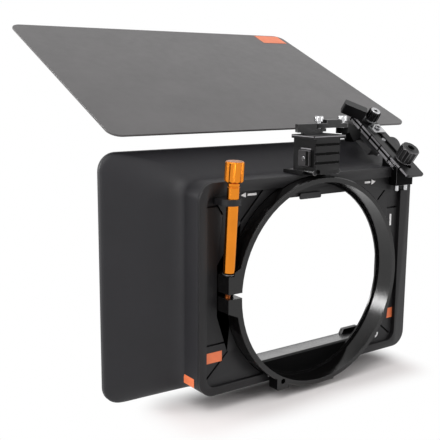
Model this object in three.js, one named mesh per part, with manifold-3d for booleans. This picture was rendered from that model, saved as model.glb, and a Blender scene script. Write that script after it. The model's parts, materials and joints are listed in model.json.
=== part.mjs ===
import * as THREE from 'three';
import { mergeVertices } from 'three/addons/utils/BufferGeometryUtils.js';
import Module from 'manifold-3d';

// Matte box for a film camera: a flared hood with a two-slot filter bay, a split ring that
// clamps a 114 mm lens front, and a top flag carried by a slotted rail and a jointed arm.
// Millimetres. +X is the operator's right, +Y points to the subject and +Z is up.
// The origin is on the lens axis, in the plane of the rear rim.

// Shared fits
const gap = 0.3;
const overrun = 3;
const mergeDistance = 0.0001;
const smoothSteps = 72;
const roundSteps = 24;
const stepsPerFlute = 4;
const cornerSteps = 4;

// Filter stage and hood
const ringBore = 114;
const ringWall = 3;
const stageSideMargin = 21.6;
const stageHeightMargin = 0.5;
const stageRise = 3.8;
const stageWidth = ringBore + 2 * stageSideMargin;
const stageHeight = ringBore + stageHeightMargin;
const stageCorner = 9;
const stageDepth = 16;
const flareWidth = 70.8;
const flareHeight = 23.4;
const flareRise = 2.24;
const mouthWidth = stageWidth + flareWidth;
const mouthHeight = stageHeight + flareHeight;
const mouthRise = stageRise + flareRise;
const mouthFloor = 7;
const mouthCorner = 10;
const hoodDepth = 43.2;
const hoodWall = 2.2;
const lipDepth = 6;
const lipGrooveWidth = 1;
const lipGrooveDepth = 1.2;
const innerFlareShift = 1.2;
const flareBlend = 2.5;
const flareBlendShare = 0.5;
const catchBottomX = [62.8, 81.7];
const catchTopX = [65.5, 78.7];
const catchHeight = 3.4;
const catchDepth = 3.5;

// Rear frame
const flangeThickness = 1.5;
const tubDepth = 14;
const tubWall = 2.2;
const recessDepth = 2.5;
const recessSide = 4.5;
const recessGripSide = 8.6;
const recessTop = 6;
const recessBottom = 4.5;
const recessCorner = 6;
const rearPlateThickness = 3;
const aperturePlateThickness = 2.5;
const apertureSideMargin = 10.1;
const apertureTopMargin = 13.05;
const apertureBottomMargin = 8.95;
const apertureCorner = 2;
const panelGrooveWidth = 0.9;
const panelGrooveDepth = 0.5;
const panelGrooveShares = [
  [[-0.92, -0.52], [-0.77, -0.52]],
  [[-0.93, -0.85], [-0.75, -0.62]],
  [[-0.94, 0.78], [-0.85, 0.78]],
  [[-0.85, 0.8], [-0.8, 0.7]],
  [[-0.65, 0.61], [-0.46, 0.89]],
  [[0.78, 0.56], [0.88, 0.56]],
  [[0.67, 0.66], [0.74, 0.75]],
  [[0.77, -0.75], [0.86, -0.85]],
];

// Filter guides and tray retainer
const filterThickness = 4;
const filterPlay = 0.4;
const guideRib = 1;
const guideDepth = 5.1;
const guideWeb = 2;
const guideEndMargin = 11.25;
const retainerWidth = 16;
const retainerHeight = 3.5;
const retainerDrop = 1.5;
const retainerThickness = 1;

// Clamp ring
const ringRear = 7.6;
const ringLip = 1.5;
const ringLipDepth = 1;
const ringChamfer = 0.5;
const splitWidth = 2.7;
const splitRise = 1.75;
const clampLugReach = 5.7;
const clampLugRoot = 2.5;
const clampLugDepth = 11.6;
const upperLugHeight = 9.3;
const upperLugSlope = 4.2;
const lowerLugHeight = 7.6;
const lowerLugSlope = 3.5;
const rodLugWidth = 8.5;
const rodLugHeight = 9;
const rodLugSide = 27.5;
const rodLugInset = 7.5;
const rodHoleRadius = 1.7;
const rodHoleDepth = 5;
const footWidth = 14;
const footSide = 10;
const footDepth = 6.4;
const footMiddle = 1.8;
const ringScrewAngles = [66, 114];
const lowerScrewRise = 1.639;
const ringScrewRadius = 0.7;
const ringScrewHead = 1.3;
const ringScrewHeadHeight = 1.2;
const ringScrewLength = 7.5;

// Clamp screw, on an axis that leans back by a few degrees
const clampTilt = 4.2;
const clampOffset = 3.2;
const clampBack = 3.12;
const clampThreadRadius = 1.5;
const clampThreadEnd = 6.5;
const clampWasherRadius = 3.4;
const clampWasherThickness = 0.8;
const clampShaftRadius = 3;
const clampShaftInset = 9.3;
const clampKnobRadius = 5;
const clampKnobHeight = 10.5;
const clampKnobFlutes = 12;
const clampKnobFluteDepth = 0.6;
const clampKnobChamfer = 0.7;
const saddleWidth = 11.6;
const saddleBack = 11;
const saddleThickness = 3.3;
const saddleInset = 7.2;

// Receiver on top of the stage
const receiverWidth = 20;
const receiverRear = 10;
const receiverFront = 8.5;
const receiverHeight = 21.95;
const receiverChamferSide = 2.5;
const receiverChamferDepth = 4.5;
const receiverFlangeWidth = 23.5;
const receiverFlangeThickness = 2;
const receiverGrooves = 3;
const receiverGrooveHeight = 1.5;
const receiverGrooveDepth = 0.9;
const receiverBaseWidth = 25;
const receiverBaseRear = 2;
const receiverBaseFront = 14;
const receiverBaseThickness = 1.95;
const receiverUndercut = 0.7;
const dovetailRear = 3.5;
const dovetailDepth = 4.7;
const dovetailRearWidth = 14;
const dovetailFrontWidth = 10;
const dovetailLength = 13;
const dovetailRoom = 1.5;
const receiverScrewSpread = 17;
const receiverScrewHead = 1.7;
const receiverScrewShank = 0.9;
const receiverScrewShankLength = 6;
const receiverScrewRear = 8;
const receiverScrewRise = 1.5;
const baseScrewInset = 4.5;
const baseScrewBack = 3;
const baseScrewHead = 2;
const baseScrewShank = 1.1;
const baseScrewLength = 5.4;

// Latch in the receiver
const latchSize = 8.6;
const latchForward = -1.5;
const latchRise = 9.45;
const latchProud = 1.5;
const latchTravel = 1.2;
const latchDepth = 2.3;
const latchPinRadius = 1.1;
const latchPinProud = 0.3;
const latchPinLength = 5.2;
const latchCoilRadius = 1.9;
const latchWireRadius = 0.3;
const latchCoils = 5;
const latchStepsPerCoil = 10;
const latchBoreDepth = 9;

// Jointed arm
const footHeadLeft = 11.5;
const footHeadRight = 9.5;
const footHeadTaper = 2;
const footHeadRise = 1;
const footHeadHeight = 4.5;
const footKnuckleHeight = 1.7;
const footHeadEnd = 2.6;
const pivotInnerX = 6.5;
const pivotInnerY = 6.5;
const pivotOuterX = 22.3;
const pivotOuterY = 4;
const pivotRadius = 1.5;
const pivotHeadRadius = 2.6;
const pivotHeadHeight = 3.9;
const pivotSocketRadius = 1.3;
const pivotSocketDepth = 1.6;
const linkHalfWidth = 3.4;
const linkThickness = 4.6;
const linkStep = 2.1;
const linkEyePlay = 0.5;
const bossRadius = 3.5;
const bossHeight = 3.1;
const bracketRailRoom = 2.7;
const bracketEndY = 27.5;
const bracketWidth = 5;
const bracketCrownRise = 2.6;
const bracketTopShares = [0.38, 0.75, 1];
const bracketTopDrops = [-0.9, 2.6, 3.6];
const bracketBellyShares = [0.28, 0.42, 0.52, 1];
const bracketBellyDrops = [4.9, 7.7, 9.7, 9.2];
const bracketSpineWidth = 4.8;
const bracketSpineEnd = 31;
const bracketToeLength = 8;
const bracketToeThickness = 4.1;
const bracketToeStart = 14;
const bracketToeReach = 3.6;

// Slotted rail, in its own tilted frame: x across, y along the rail, z away from its face
const railTilt = 36;
const railRise = 4.35;
const railInset = 10.2;
const railWidth = 14.4;
const railTail = 15.5;
const railReach = 50;
const railCorner = 1.6;
const railPlateThickness = 1.8;
const lowerPlateThickness = 1.6;
const plateSpace = 1.1;
const lowerPlateTail = 4;
const spacerPadLength = 4.6;
const spacerPadInset = 1;
const slotWidth = 3.6;
const slotTail = 9;
const slotReach = 40;
const slotStopWidth = 9.4;
const slotStopLength = 7.4;
const slotStopThickness = 1.2;
const slotStopAlong = 26.5;
const slotStopScrewHead = 1.7;
const slotStopScrewHeight = 1.1;
const slotStopScrewShank = 1.3;

// Knobs on the rail
const knobScrewRadius = 1.5;
const knobWasherThickness = 0.7;
const upperKnobAlong = 34.3;
const upperKnobRadius = 4;
const upperKnobHeight = 6.3;
const upperKnobFlutes = 12;
const upperKnobFluteDepth = 0.4;
const lowerKnobAlong = -1.8;
const lowerKnobRadius = 6;
const lowerKnobHeight = 8.3;
const lowerKnobFlutes = 8;
const lowerKnobFluteDepth = 0.8;
const knobChamfer = 0.6;
const knobBoreRadius = 2.3;
const knobScrewSocketRadius = 1.2;
const knobScrewSocketDepth = 1.4;
const lowerKnobScrewLength = 6;

// Swing arm under the upper knob
const swingAngle = 141.7;
const swingPlateThickness = 1.2;
const swingEyeRadius = 3.3;
const swingBarStart = 4.7;
const swingBarLength = 15;
const swingBarWidth = 6;
const swingBarHeight = 6.9;
const swingBarCorner = 1;

// Shoe, clip and flag
const shoeStart = 27;
const shoeLength = 10;
const shoeWidth = 11.8;
const shoeThickness = 2.1;
const forkEar = 2.5;
const hingeAlong = 34.6;
const hingeDrop = 8.4;
const hingeRadius = 2.4;
const hingePinRadius = 1.1;
const barrelRadius = 2.2;
const flagTilt = 24.6;
const flagRearY = 33.4;
const flagRearRise = 22.65;
const flagSideInset = 3.7;
const flagLength = 147.5;
const flagThickness = 1.2;
const flagCorner = 7;
const clipStart = 0.5;
const clipLength = 15.5;
const clipWidth = 21;
const clipThickness = 1.8;
const clipCorner = 2;
const clipWebRearShares = [0.9, -0.4];
const clipWebFrontShares = [0.55, 0.8];

// Wedge block of the rail, in the notch of the frame, and its two pins
const wedgeRear = 4;
const wedgeFront = 8;
const wedgeStepFront = 2.2;
const wedgeStepDrop = 6.05;
const wedgeDrop = 11.05;
const wedgePinRadius = 1.5;
const wedgePinSpread = 7.7;
const wedgePinForward = -1;
const wedgePinLength = 5.5;
const wedgePinProud = 3.5;

// Places worked out from the sizes above
const degree = Math.PI / 180;
const stageTop = stageRise + stageHeight / 2;
const stageBottom = stageRise - stageHeight / 2;
const mouthBottom = mouthRise - mouthHeight / 2;
const shellRear = flangeThickness + gap;
const lipStart = hoodDepth - lipDepth;
const apertureWidth = stageWidth - 2 * apertureSideMargin;
const apertureTop = stageTop - apertureTopMargin;
const apertureBottom = stageBottom + apertureBottomMargin;
const guideHeight = stageHeight - 2 * guideEndMargin;
const ringOuterRadius = ringBore / 2 + ringWall;
const rodLugDrop = ringOuterRadius - rodLugInset;
const clampSide = ringOuterRadius + clampOffset;
const clampShaftLength = ringBore / 2 - clampShaftInset;
const saddleHeight = ringBore / 2 - saddleInset;
const ringSeatRadius = ringOuterRadius + gap;
const plateFront = recessDepth + rearPlateThickness;
const apertureFront = plateFront + aperturePlateThickness;
const ringFront = plateFront - gap;
const tubInset = hoodWall + gap;
const ringScrewCircle = ringBore / 2 + ringWall / 2;
const splitTop = splitRise + splitWidth / 2;
const splitBottom = splitRise - splitWidth / 2;
const upperLugTop = splitTop + upperLugHeight;
const railTop = railPlateThickness / 2;
const lowerPlateTop = -railTop - plateSpace;
const lowerPlateBottom = lowerPlateTop - lowerPlateThickness;
const receiverTop = stageTop + receiverHeight;
const latchHeight = stageTop + latchRise;
const footHeadBottom = receiverTop + footHeadRise;
const footHeadTop = footHeadBottom + footHeadHeight;
const knuckleTop = footHeadBottom + footKnuckleHeight;
const linkBottom = knuckleTop + gap;
const linkTop = linkBottom + linkThickness;
const linkStepTop = linkTop - linkStep;
const pivotHeadBottom = linkStepTop + gap;
const receiverBottom = stageTop + gap;
const receiverBaseTop = receiverBottom + receiverBaseThickness;
const baseScrewSide = receiverBaseWidth / 2 - baseScrewInset;
const baseScrewForward = receiverBaseFront - baseScrewBack;
const railHeight = stageTop + railRise;
const railSide = stageWidth / 2 - railInset;
const railLeft = railSide - railWidth / 2;
const railRight = railSide + railWidth / 2;
const knobSeat = railTop + gap;
const bracketEndX = railLeft - bracketRailRoom;
const flagRearZ = stageTop + flagRearRise;
const flagWidth = mouthWidth - 2 * flagSideInset;
const wedgeStepHeight = stageTop - wedgeStepDrop;
const wedgeBottom = stageTop - wedgeDrop;

const wasm = await Module();
wasm.setup();

// Solids from three.js geometry, and back

function toSolid(geometry) {
  const bare = geometry.clone();
  bare.deleteAttribute('normal');
  bare.deleteAttribute('uv');
  const merged = mergeVertices(bare, mergeDistance);
  const source = merged.index.array;
  const triangles = [];
  for (let i = 0; i < source.length; i += 3) {
    const [a, b, c] = [source[i], source[i + 1], source[i + 2]];
    if (a !== b && b !== c && c !== a) triangles.push(a, b, c);
  }
  return new wasm.Manifold(new wasm.Mesh({
    numProp: 3,
    vertProperties: new Float32Array(merged.attributes.position.array),
    triVerts: new Uint32Array(triangles),
  }));
}

function toGeometry(solid) {
  const mesh = solid.getMesh();
  const geometry = new THREE.BufferGeometry();
  geometry.setAttribute('position', new THREE.BufferAttribute(new Float32Array(mesh.vertProperties), 3));
  geometry.setIndex(new THREE.BufferAttribute(new Uint32Array(mesh.triVerts), 1));
  geometry.computeVertexNormals();
  return geometry;
}

function join(first, ...others) {
  return others.reduce((sum, other) => sum.add(other), first);
}

function cut(base, ...tools) {
  return tools.reduce((rest, tool) => rest.subtract(tool), base);
}

function placed(solid, matrix) {
  return solid.transform(matrix.elements);
}

// Basic solids

function block([x0, x1], [y0, y1], [z0, z1]) {
  const geometry = new THREE.BoxGeometry(x1 - x0, y1 - y0, z1 - z0);
  geometry.translate((x0 + x1) / 2, (y0 + y1) / 2, (z0 + z1) / 2);
  return toSolid(geometry);
}

function rod(radius, start, end, steps = roundSteps, endRadius = radius) {
  const from = new THREE.Vector3(...start);
  const along = new THREE.Vector3(...end).sub(from);
  const geometry = new THREE.CylinderGeometry(endRadius, radius, along.length(), steps);
  const turn = new THREE.Quaternion();
  turn.setFromUnitVectors(THREE.Object3D.DEFAULT_UP, along.clone().normalize());
  geometry.applyQuaternion(turn);
  geometry.translate(...from.addScaledVector(along, 0.5).toArray());
  return toSolid(geometry);
}

function prismAlongX(shape, x0, x1) {
  const geometry = new THREE.ExtrudeGeometry(shape, extrusion(x1 - x0));
  const basis = new THREE.Matrix4().makeBasis(
    new THREE.Vector3(0, 1, 0), new THREE.Vector3(0, 0, 1), new THREE.Vector3(1, 0, 0));
  geometry.applyMatrix4(basis);
  geometry.translate(x0, 0, 0);
  return toSolid(geometry);
}

function prismAlongY(shape, y0, y1) {
  const geometry = new THREE.ExtrudeGeometry(shape, extrusion(y1 - y0));
  geometry.rotateX(Math.PI / 2);
  geometry.translate(0, y1, 0);
  return toSolid(geometry);
}

function prismAlongZ(shape, z0, z1) {
  const geometry = new THREE.ExtrudeGeometry(shape, extrusion(z1 - z0));
  geometry.translate(0, 0, z0);
  return toSolid(geometry);
}

function extrusion(depth) {
  return { depth, bevelEnabled: false, curveSegments: cornerSteps };
}

function polygon(points) {
  return new THREE.Shape(points.map(([a, b]) => new THREE.Vector2(a, b)));
}

function roundedRectangle([x0, x1], [y0, y1], corner) {
  const shape = new THREE.Shape();
  shape.absarc(x1 - corner, y1 - corner, corner, 0, Math.PI / 2);
  shape.absarc(x0 + corner, y1 - corner, corner, Math.PI / 2, Math.PI);
  shape.absarc(x0 + corner, y0 + corner, corner, Math.PI, 1.5 * Math.PI);
  shape.absarc(x1 - corner, y0 + corner, corner, 1.5 * Math.PI, 2 * Math.PI);
  shape.closePath();
  return shape;
}

function stadium([x0, y0], [x1, y1], radius) {
  const heading = Math.atan2(y1 - y0, x1 - x0);
  const shape = new THREE.Shape();
  shape.absarc(x1, y1, radius, heading - Math.PI / 2, heading + Math.PI / 2);
  shape.absarc(x0, y0, radius, heading + Math.PI / 2, heading + 1.5 * Math.PI);
  shape.closePath();
  return shape;
}

function flutedShape(radius, depth, flutes) {
  const points = [];
  for (let i = 0; i < flutes * stepsPerFlute; i += 1) {
    const angle = (2 * Math.PI * i) / (flutes * stepsPerFlute);
    const dip = (1 - Math.cos(flutes * angle)) / 2;
    const reach = radius - depth * dip;
    points.push([reach * Math.cos(angle), reach * Math.sin(angle)]);
  }
  return polygon(points);
}

// A knob stands on its local z axis from z0 up, with chamfered ends and a stepped bore.
function flutedKnob({ radius, depth, flutes, z0, height, chamfer }) {
  const body = prismAlongZ(flutedShape(radius, depth, flutes), z0, z0 + height);
  const profile = [
    [0, z0],
    [radius - chamfer, z0],
    [radius, z0 + chamfer],
    [radius, z0 + height - chamfer],
    [radius - chamfer, z0 + height],
    [0, z0 + height],
  ];
  return body.intersect(revolved(profile, flutes * stepsPerFlute));
}

// A profile of radius and height pairs, turned about the z axis.
function revolved(profile, steps) {
  const points = profile.map(([radius, height]) => new THREE.Vector2(radius, height));
  const geometry = new THREE.LatheGeometry(points, steps);
  geometry.rotateX(Math.PI / 2);
  return toSolid(geometry);
}

// Skin through equal rings of points, closed along each ring and from last to first.
function closedLoft(rings) {
  const count = rings[0].length;
  const positions = rings.flat().flatMap((point) => point);
  const triangles = [];
  for (let i = 0; i < rings.length; i += 1) {
    const next = (i + 1) % rings.length;
    for (let j = 0; j < count; j += 1) {
      const side = (j + 1) % count;
      const corners = [i * count + j, next * count + j, next * count + side, i * count + side];
      triangles.push(corners[0], corners[1], corners[2], corners[0], corners[2], corners[3]);
    }
  }
  const geometry = new THREE.BufferGeometry();
  geometry.setAttribute('position', new THREE.BufferAttribute(new Float32Array(positions), 3));
  geometry.setIndex(triangles);
  return toSolid(geometry);
}

// Frames of the tilted assemblies

const clampAxis = new THREE.Matrix4()
  .makeRotationX(clampTilt * degree)
  .setPosition(-clampSide, -clampBack, 0);
const railFrame = new THREE.Matrix4()
  .makeRotationX(railTilt * degree)
  .setPosition(0, 0, railHeight);
const flagFrame = new THREE.Matrix4()
  .makeRotationX(flagTilt * degree)
  .setPosition(0, flagRearY, flagRearZ);
const hingePoint = new THREE.Vector3(0, hingeAlong, -hingeDrop).applyMatrix4(railFrame);
const hingeInFlag = hingePoint.clone().applyMatrix4(flagFrame.clone().invert());
const bracketHeading = Math.atan2(bracketEndY - pivotOuterY, bracketEndX - pivotOuterX);
const bracketLength = Math.hypot(bracketEndY - pivotOuterY, bracketEndX - pivotOuterX);
const bracketFrame = new THREE.Matrix4()
  .makeRotationZ(bracketHeading)
  .setPosition(pivotOuterX, pivotOuterY, 0);
const linkHeading = Math.atan2(pivotOuterY - pivotInnerY, pivotOuterX - pivotInnerX);
const linkSpan = Math.hypot(pivotOuterY - pivotInnerY, pivotOuterX - pivotInnerX);

// Shared cutting solids

function ringSeat(front) {
  return rod(ringSeatRadius, [0, -overrun, 0], [0, front, 0], smoothSteps);
}

function wedgeNotch() {
  const across = [railLeft - gap, railRight + gap];
  const deep = block(across, [-overrun, wedgeFront + gap], [wedgeStepHeight - gap, stageTop + overrun]);
  const pinRoom = wedgeBottom - wedgePinProud - gap;
  const shallow = block(across, [-overrun, recessDepth], [pinRoom, stageTop + overrun]);
  return join(deep, shallow);
}

function baseScrewHoles() {
  const radius = baseScrewShank + gap;
  const bottom = receiverBaseTop - baseScrewLength - gap;
  return [-1, 1].map((side) => rod(
    radius,
    [side * baseScrewSide, baseScrewForward, bottom],
    [side * baseScrewSide, baseScrewForward, receiverBaseTop + overrun],
  ));
}

function ringScrewPlaces() {
  const upper = ringScrewAngles.map((angle) => [
    ringScrewCircle * Math.cos(angle * degree),
    ringScrewCircle * Math.sin(angle * degree),
  ]);
  const z = stageBottom + hoodWall + lowerScrewRise;
  const x = Math.sqrt(ringScrewCircle ** 2 - z ** 2);
  return [...upper, [-x, z], [x, z]];
}

// One-piece hood: straight stage walls, flared panels and a straight lip

function hoodRing(y, share, inset, floor = inset) {
  const halfWidth = THREE.MathUtils.lerp(stageWidth, mouthWidth, share) / 2 - inset;
  const halfHeight = THREE.MathUtils.lerp(stageHeight, mouthHeight, share) / 2;
  const rise = THREE.MathUtils.lerp(stageRise, mouthRise, share);
  const corner = THREE.MathUtils.lerp(stageCorner, mouthCorner, share) - inset;
  const upright = [rise - halfHeight + floor, rise + halfHeight - inset];
  const outline = roundedRectangle([-halfWidth, halfWidth], upright, corner);
  const points = outline.getPoints(cornerSteps);
  if (points[0].distanceTo(points.at(-1)) < mergeDistance) points.pop();
  return points.map((point) => [point.x, y, point.y]);
}

function flareShareAt(y) {
  return (y - stageDepth) / (lipStart - stageDepth);
}

function hoodShell() {
  const blendEnd = stageDepth + flareBlend;
  const grooveStart = lipStart - lipGrooveWidth;
  const rings = [
    hoodRing(shellRear, 0, 0),
    hoodRing(stageDepth, 0, 0),
    hoodRing(blendEnd, flareShareAt(blendEnd) * flareBlendShare, 0),
    hoodRing(grooveStart, flareShareAt(grooveStart), 0),
    hoodRing(grooveStart, flareShareAt(grooveStart), lipGrooveDepth),
    hoodRing(lipStart, flareShareAt(grooveStart), lipGrooveDepth),
    hoodRing(lipStart, 1, 0),
    hoodRing(hoodDepth, 1, 0),
    hoodRing(hoodDepth, 1, hoodWall, mouthFloor),
    hoodRing(lipStart + innerFlareShift, 1, hoodWall, mouthFloor),
    hoodRing(stageDepth + innerFlareShift, 0, hoodWall),
    hoodRing(shellRear, 0, hoodWall),
  ];
  const solid = join(closedLoft(rings), lipCatch(-1), lipCatch(1));
  return cut(solid, ringSeat(plateFront), wedgeNotch(), ...baseScrewHoles());
}

function lipCatch(side) {
  const root = mouthBottom + mouthFloor;
  const outline = polygon([
    [side * catchBottomX[0], root - hoodWall],
    [side * catchBottomX[1], root - hoodWall],
    [side * catchTopX[1], root + catchHeight],
    [side * catchTopX[0], root + catchHeight],
  ]);
  return prismAlongY(outline, hoodDepth - catchDepth, hoodDepth - gap);
}

// Rear frame: rim, recessed plate with the ring's seat, aperture plate and walls of the tub

function stageOutline(inset) {
  const halfWidth = stageWidth / 2 - inset;
  return roundedRectangle(
    [-halfWidth, halfWidth],
    [stageBottom + inset, stageTop - inset],
    stageCorner - inset,
  );
}

function recess() {
  const across = [-stageWidth / 2 + recessSide, stageWidth / 2 - recessGripSide];
  const upright = [stageBottom + recessBottom, stageTop - recessTop];
  return prismAlongY(roundedRectangle(across, upright, recessCorner), -overrun, recessDepth);
}

function panelGroove([[x0, z0], [x1, z1]]) {
  const point = (x, z) => [(x * stageWidth) / 2, stageRise + (z * stageHeight) / 2];
  const line = stadium(point(x0, z0), point(x1, z1), panelGrooveWidth / 2);
  return prismAlongY(line, -overrun, recessDepth + panelGrooveDepth);
}

function clampLugPocket() {
  const reach = ringOuterRadius + clampLugReach + gap;
  const lugFront = clampLugDepth - ringRear + gap;
  const foot = splitBottom - lowerLugHeight - lowerLugSlope - gap;
  const head = upperLugTop + upperLugSlope + gap;
  return block([-reach, -ringBore / 2], [-overrun, lugFront], [foot, head]);
}

function ringScrewHoles() {
  return ringScrewPlaces().flatMap(([x, z]) => [
    rod(ringScrewRadius + gap, [x, 0, z], [x, apertureFront + overrun, z], roundSteps / 2),
    rod(ringScrewHead + gap, [x, apertureFront, z], [x, tubDepth + overrun, z], roundSteps / 2),
  ]);
}

function rearFrame() {
  const flange = prismAlongY(stageOutline(0), 0, flangeThickness);
  const tub = prismAlongY(stageOutline(tubInset), flangeThickness - gap, tubDepth);
  const cavityInset = tubInset + tubWall;
  const cavity = prismAlongY(stageOutline(cavityInset), apertureFront, tubDepth + overrun);
  const half = apertureWidth / 2;
  const window = roundedRectangle([-half, half], [apertureBottom, apertureTop], apertureCorner);
  return cut(
    join(flange, tub),
    cavity,
    prismAlongY(window, plateFront, apertureFront + overrun),
    recess(),
    ringSeat(plateFront),
    clampLugPocket(),
    wedgeNotch(),
    ...panelGrooveShares.map(panelGroove),
    ...ringScrewHoles(),
    ...baseScrewHoles(),
  );
}

// Filter guides: a comb section with one groove for each filter tray

function filterGuide(side) {
  const groove = filterThickness + filterPlay;
  const wall = stageWidth / 2 - tubInset - tubWall - gap;
  const rear = apertureFront + gap;
  const ribs = [0, 1, 2].map((row) => rear + row * (groove + guideRib));
  const front = ribs[2] + guideRib;
  const bottom = stageRise - guideHeight / 2;
  const top = stageRise + guideHeight / 2;
  const across = (x0, x1) => (side > 0 ? [x0, x1] : [-x1, -x0]);
  const web = block(across(wall - guideWeb, wall), [rear, front], [bottom, top]);
  const fins = ribs.map((y) => block(across(wall - guideDepth, wall), [y, y + guideRib], [bottom, top]));
  return join(web, ...fins);
}

function trayRetainer() {
  const bottom = apertureTop - retainerDrop;
  const outline = roundedRectangle(
    [-retainerWidth / 2, retainerWidth / 2],
    [bottom, bottom + retainerHeight],
    retainerThickness,
  );
  return prismAlongY(outline, plateFront - gap - retainerThickness, plateFront - gap);
}

// Split clamp ring with its lugs and the foot on which the box stands

function clampBore(radius) {
  const reach = splitBottom - lowerLugHeight - lowerLugSlope - overrun;
  return placed(rod(radius, [0, 0, reach], [0, 0, upperLugTop + upperLugSlope + overrun]), clampAxis);
}

function clampSpotFace() {
  const radius = clampWasherRadius + gap;
  const top = upperLugTop + upperLugSlope + overrun;
  return placed(rod(radius, [0, 0, upperLugTop + gap], [0, 0, top]), clampAxis);
}

function clampLugs() {
  const outer = -ringOuterRadius - clampLugReach;
  const inner = -ringOuterRadius + clampLugRoot;
  const depth = [-ringRear, clampLugDepth - ringRear];
  const upper = polygon([
    [inner, splitRise],
    [outer, splitRise],
    [outer, upperLugTop],
    [inner, upperLugTop + upperLugSlope],
  ]);
  const lower = polygon([
    [outer, splitRise],
    [inner, splitRise],
    [inner, splitBottom - lowerLugHeight - lowerLugSlope],
    [outer, splitBottom - lowerLugHeight],
  ]);
  return join(prismAlongY(upper, ...depth), prismAlongY(lower, ...depth));
}

function clampRing() {
  const rim = ringOuterRadius;
  const body = revolved([
    [0, -ringFront],
    [rim, -ringFront],
    [rim, ringRear - ringChamfer],
    [rim - ringChamfer, ringRear],
    [0, ringRear],
  ], smoothSteps);
  const ring = placed(body, new THREE.Matrix4().makeRotationX(Math.PI / 2));
  const rodLug = roundedRectangle(
    [-rodLugSide - rodLugWidth / 2, -rodLugSide + rodLugWidth / 2],
    [-rodLugDrop - rodLugHeight / 2, -rodLugDrop + rodLugHeight / 2],
    ringChamfer,
  );
  const foot = block(
    [footSide - footWidth / 2, footSide + footWidth / 2],
    [footMiddle - footDepth / 2, footMiddle + footDepth / 2],
    [mouthBottom, -ringOuterRadius + ringWall],
  );
  const split = block(
    [-ringOuterRadius - clampLugReach - overrun, -ringOuterRadius / 2],
    [-ringRear - overrun, plateFront + overrun],
    [splitBottom, splitTop],
  );
  return cut(
    join(ring, clampLugs(), prismAlongY(rodLug, -ringRear, -gap), foot),
    rod(ringBore / 2, [0, -ringRear - overrun, 0], [0, ringFront - ringLipDepth, 0], smoothSteps),
    rod(ringBore / 2 - ringLip, [0, -ringRear - overrun, 0], [0, ringFront + overrun, 0], smoothSteps),
    split,
    clampBore(clampThreadRadius + gap),
    clampSpotFace(),
    rod(
      rodHoleRadius,
      [-rodLugSide, -ringRear - overrun, -rodLugDrop],
      [-rodLugSide, -ringRear + rodHoleDepth, -rodLugDrop],
      6,
    ),
    ...ringScrewPlaces().map(([x, z]) => rod(
      ringScrewRadius + gap,
      [x, apertureFront - ringScrewLength - gap, z],
      [x, ringFront + overrun, z],
      roundSteps / 2,
    )),
  );
}

function ringScrew([x, z]) {
  const seat = apertureFront + gap;
  return join(
    rod(
      ringScrewRadius,
      [x, apertureFront - ringScrewLength, z],
      [x, seat + ringScrewHeadHeight / 2, z],
      roundSteps / 2,
    ),
    rod(ringScrewHead, [x, seat, z], [x, seat + ringScrewHeadHeight, z], roundSteps / 2),
  );
}

// Clamp screw, drawn on its own leaning axis

const washerBottom = upperLugTop + 2 * gap;
const shaftBottom = washerBottom + clampWasherThickness + gap;
const shaftTop = shaftBottom + clampShaftLength;

function clampWasher() {
  return cut(
    rod(clampWasherRadius, [0, 0, washerBottom], [0, 0, washerBottom + clampWasherThickness]),
    rod(clampThreadRadius + gap, [0, 0, washerBottom - overrun], [0, 0, shaftBottom + overrun]),
  );
}

function clampShaft() {
  return join(
    rod(clampShaftRadius, [0, 0, shaftBottom], [0, 0, shaftTop]),
    rod(clampThreadRadius, [0, 0, -clampThreadEnd], [0, 0, shaftBottom + overrun], roundSteps / 2),
  );
}

function clampKnob() {
  return flutedKnob({
    radius: clampKnobRadius,
    depth: clampKnobFluteDepth,
    flutes: clampKnobFlutes,
    z0: shaftTop + gap,
    height: clampKnobHeight,
    chamfer: clampKnobChamfer,
  });
}

function screwSaddle() {
  const front = recessDepth - gap;
  const half = saddleWidth / 2;
  const outline = new THREE.Shape();
  outline.absarc(-clampSide, -saddleBack + half, half, Math.PI, 2 * Math.PI);
  outline.lineTo(-clampSide + half, front);
  outline.lineTo(-clampSide - half, front);
  outline.closePath();
  const strap = prismAlongZ(outline, saddleHeight, saddleHeight + saddleThickness);
  const bore = rod(clampShaftRadius + gap, [0, 0, shaftBottom], [0, 0, shaftTop]);
  return cut(strap, placed(bore, clampAxis));
}

// Receiver block with its dovetail pocket and the latch's well

function dovetailShape(play, mouth) {
  const rear = dovetailRear - play;
  const front = dovetailRear + dovetailDepth;
  const rearHalf = dovetailRearWidth / 2 + play;
  const frontHalf = dovetailFrontWidth / 2 + play;
  return polygon([
    [-rearHalf, rear],
    [rearHalf, rear],
    [frontHalf, front],
    [frontHalf, front + mouth],
    [-frontHalf, front + mouth],
    [-frontHalf, front],
  ]);
}

const tongueBottom = footHeadBottom - dovetailLength;

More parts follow.
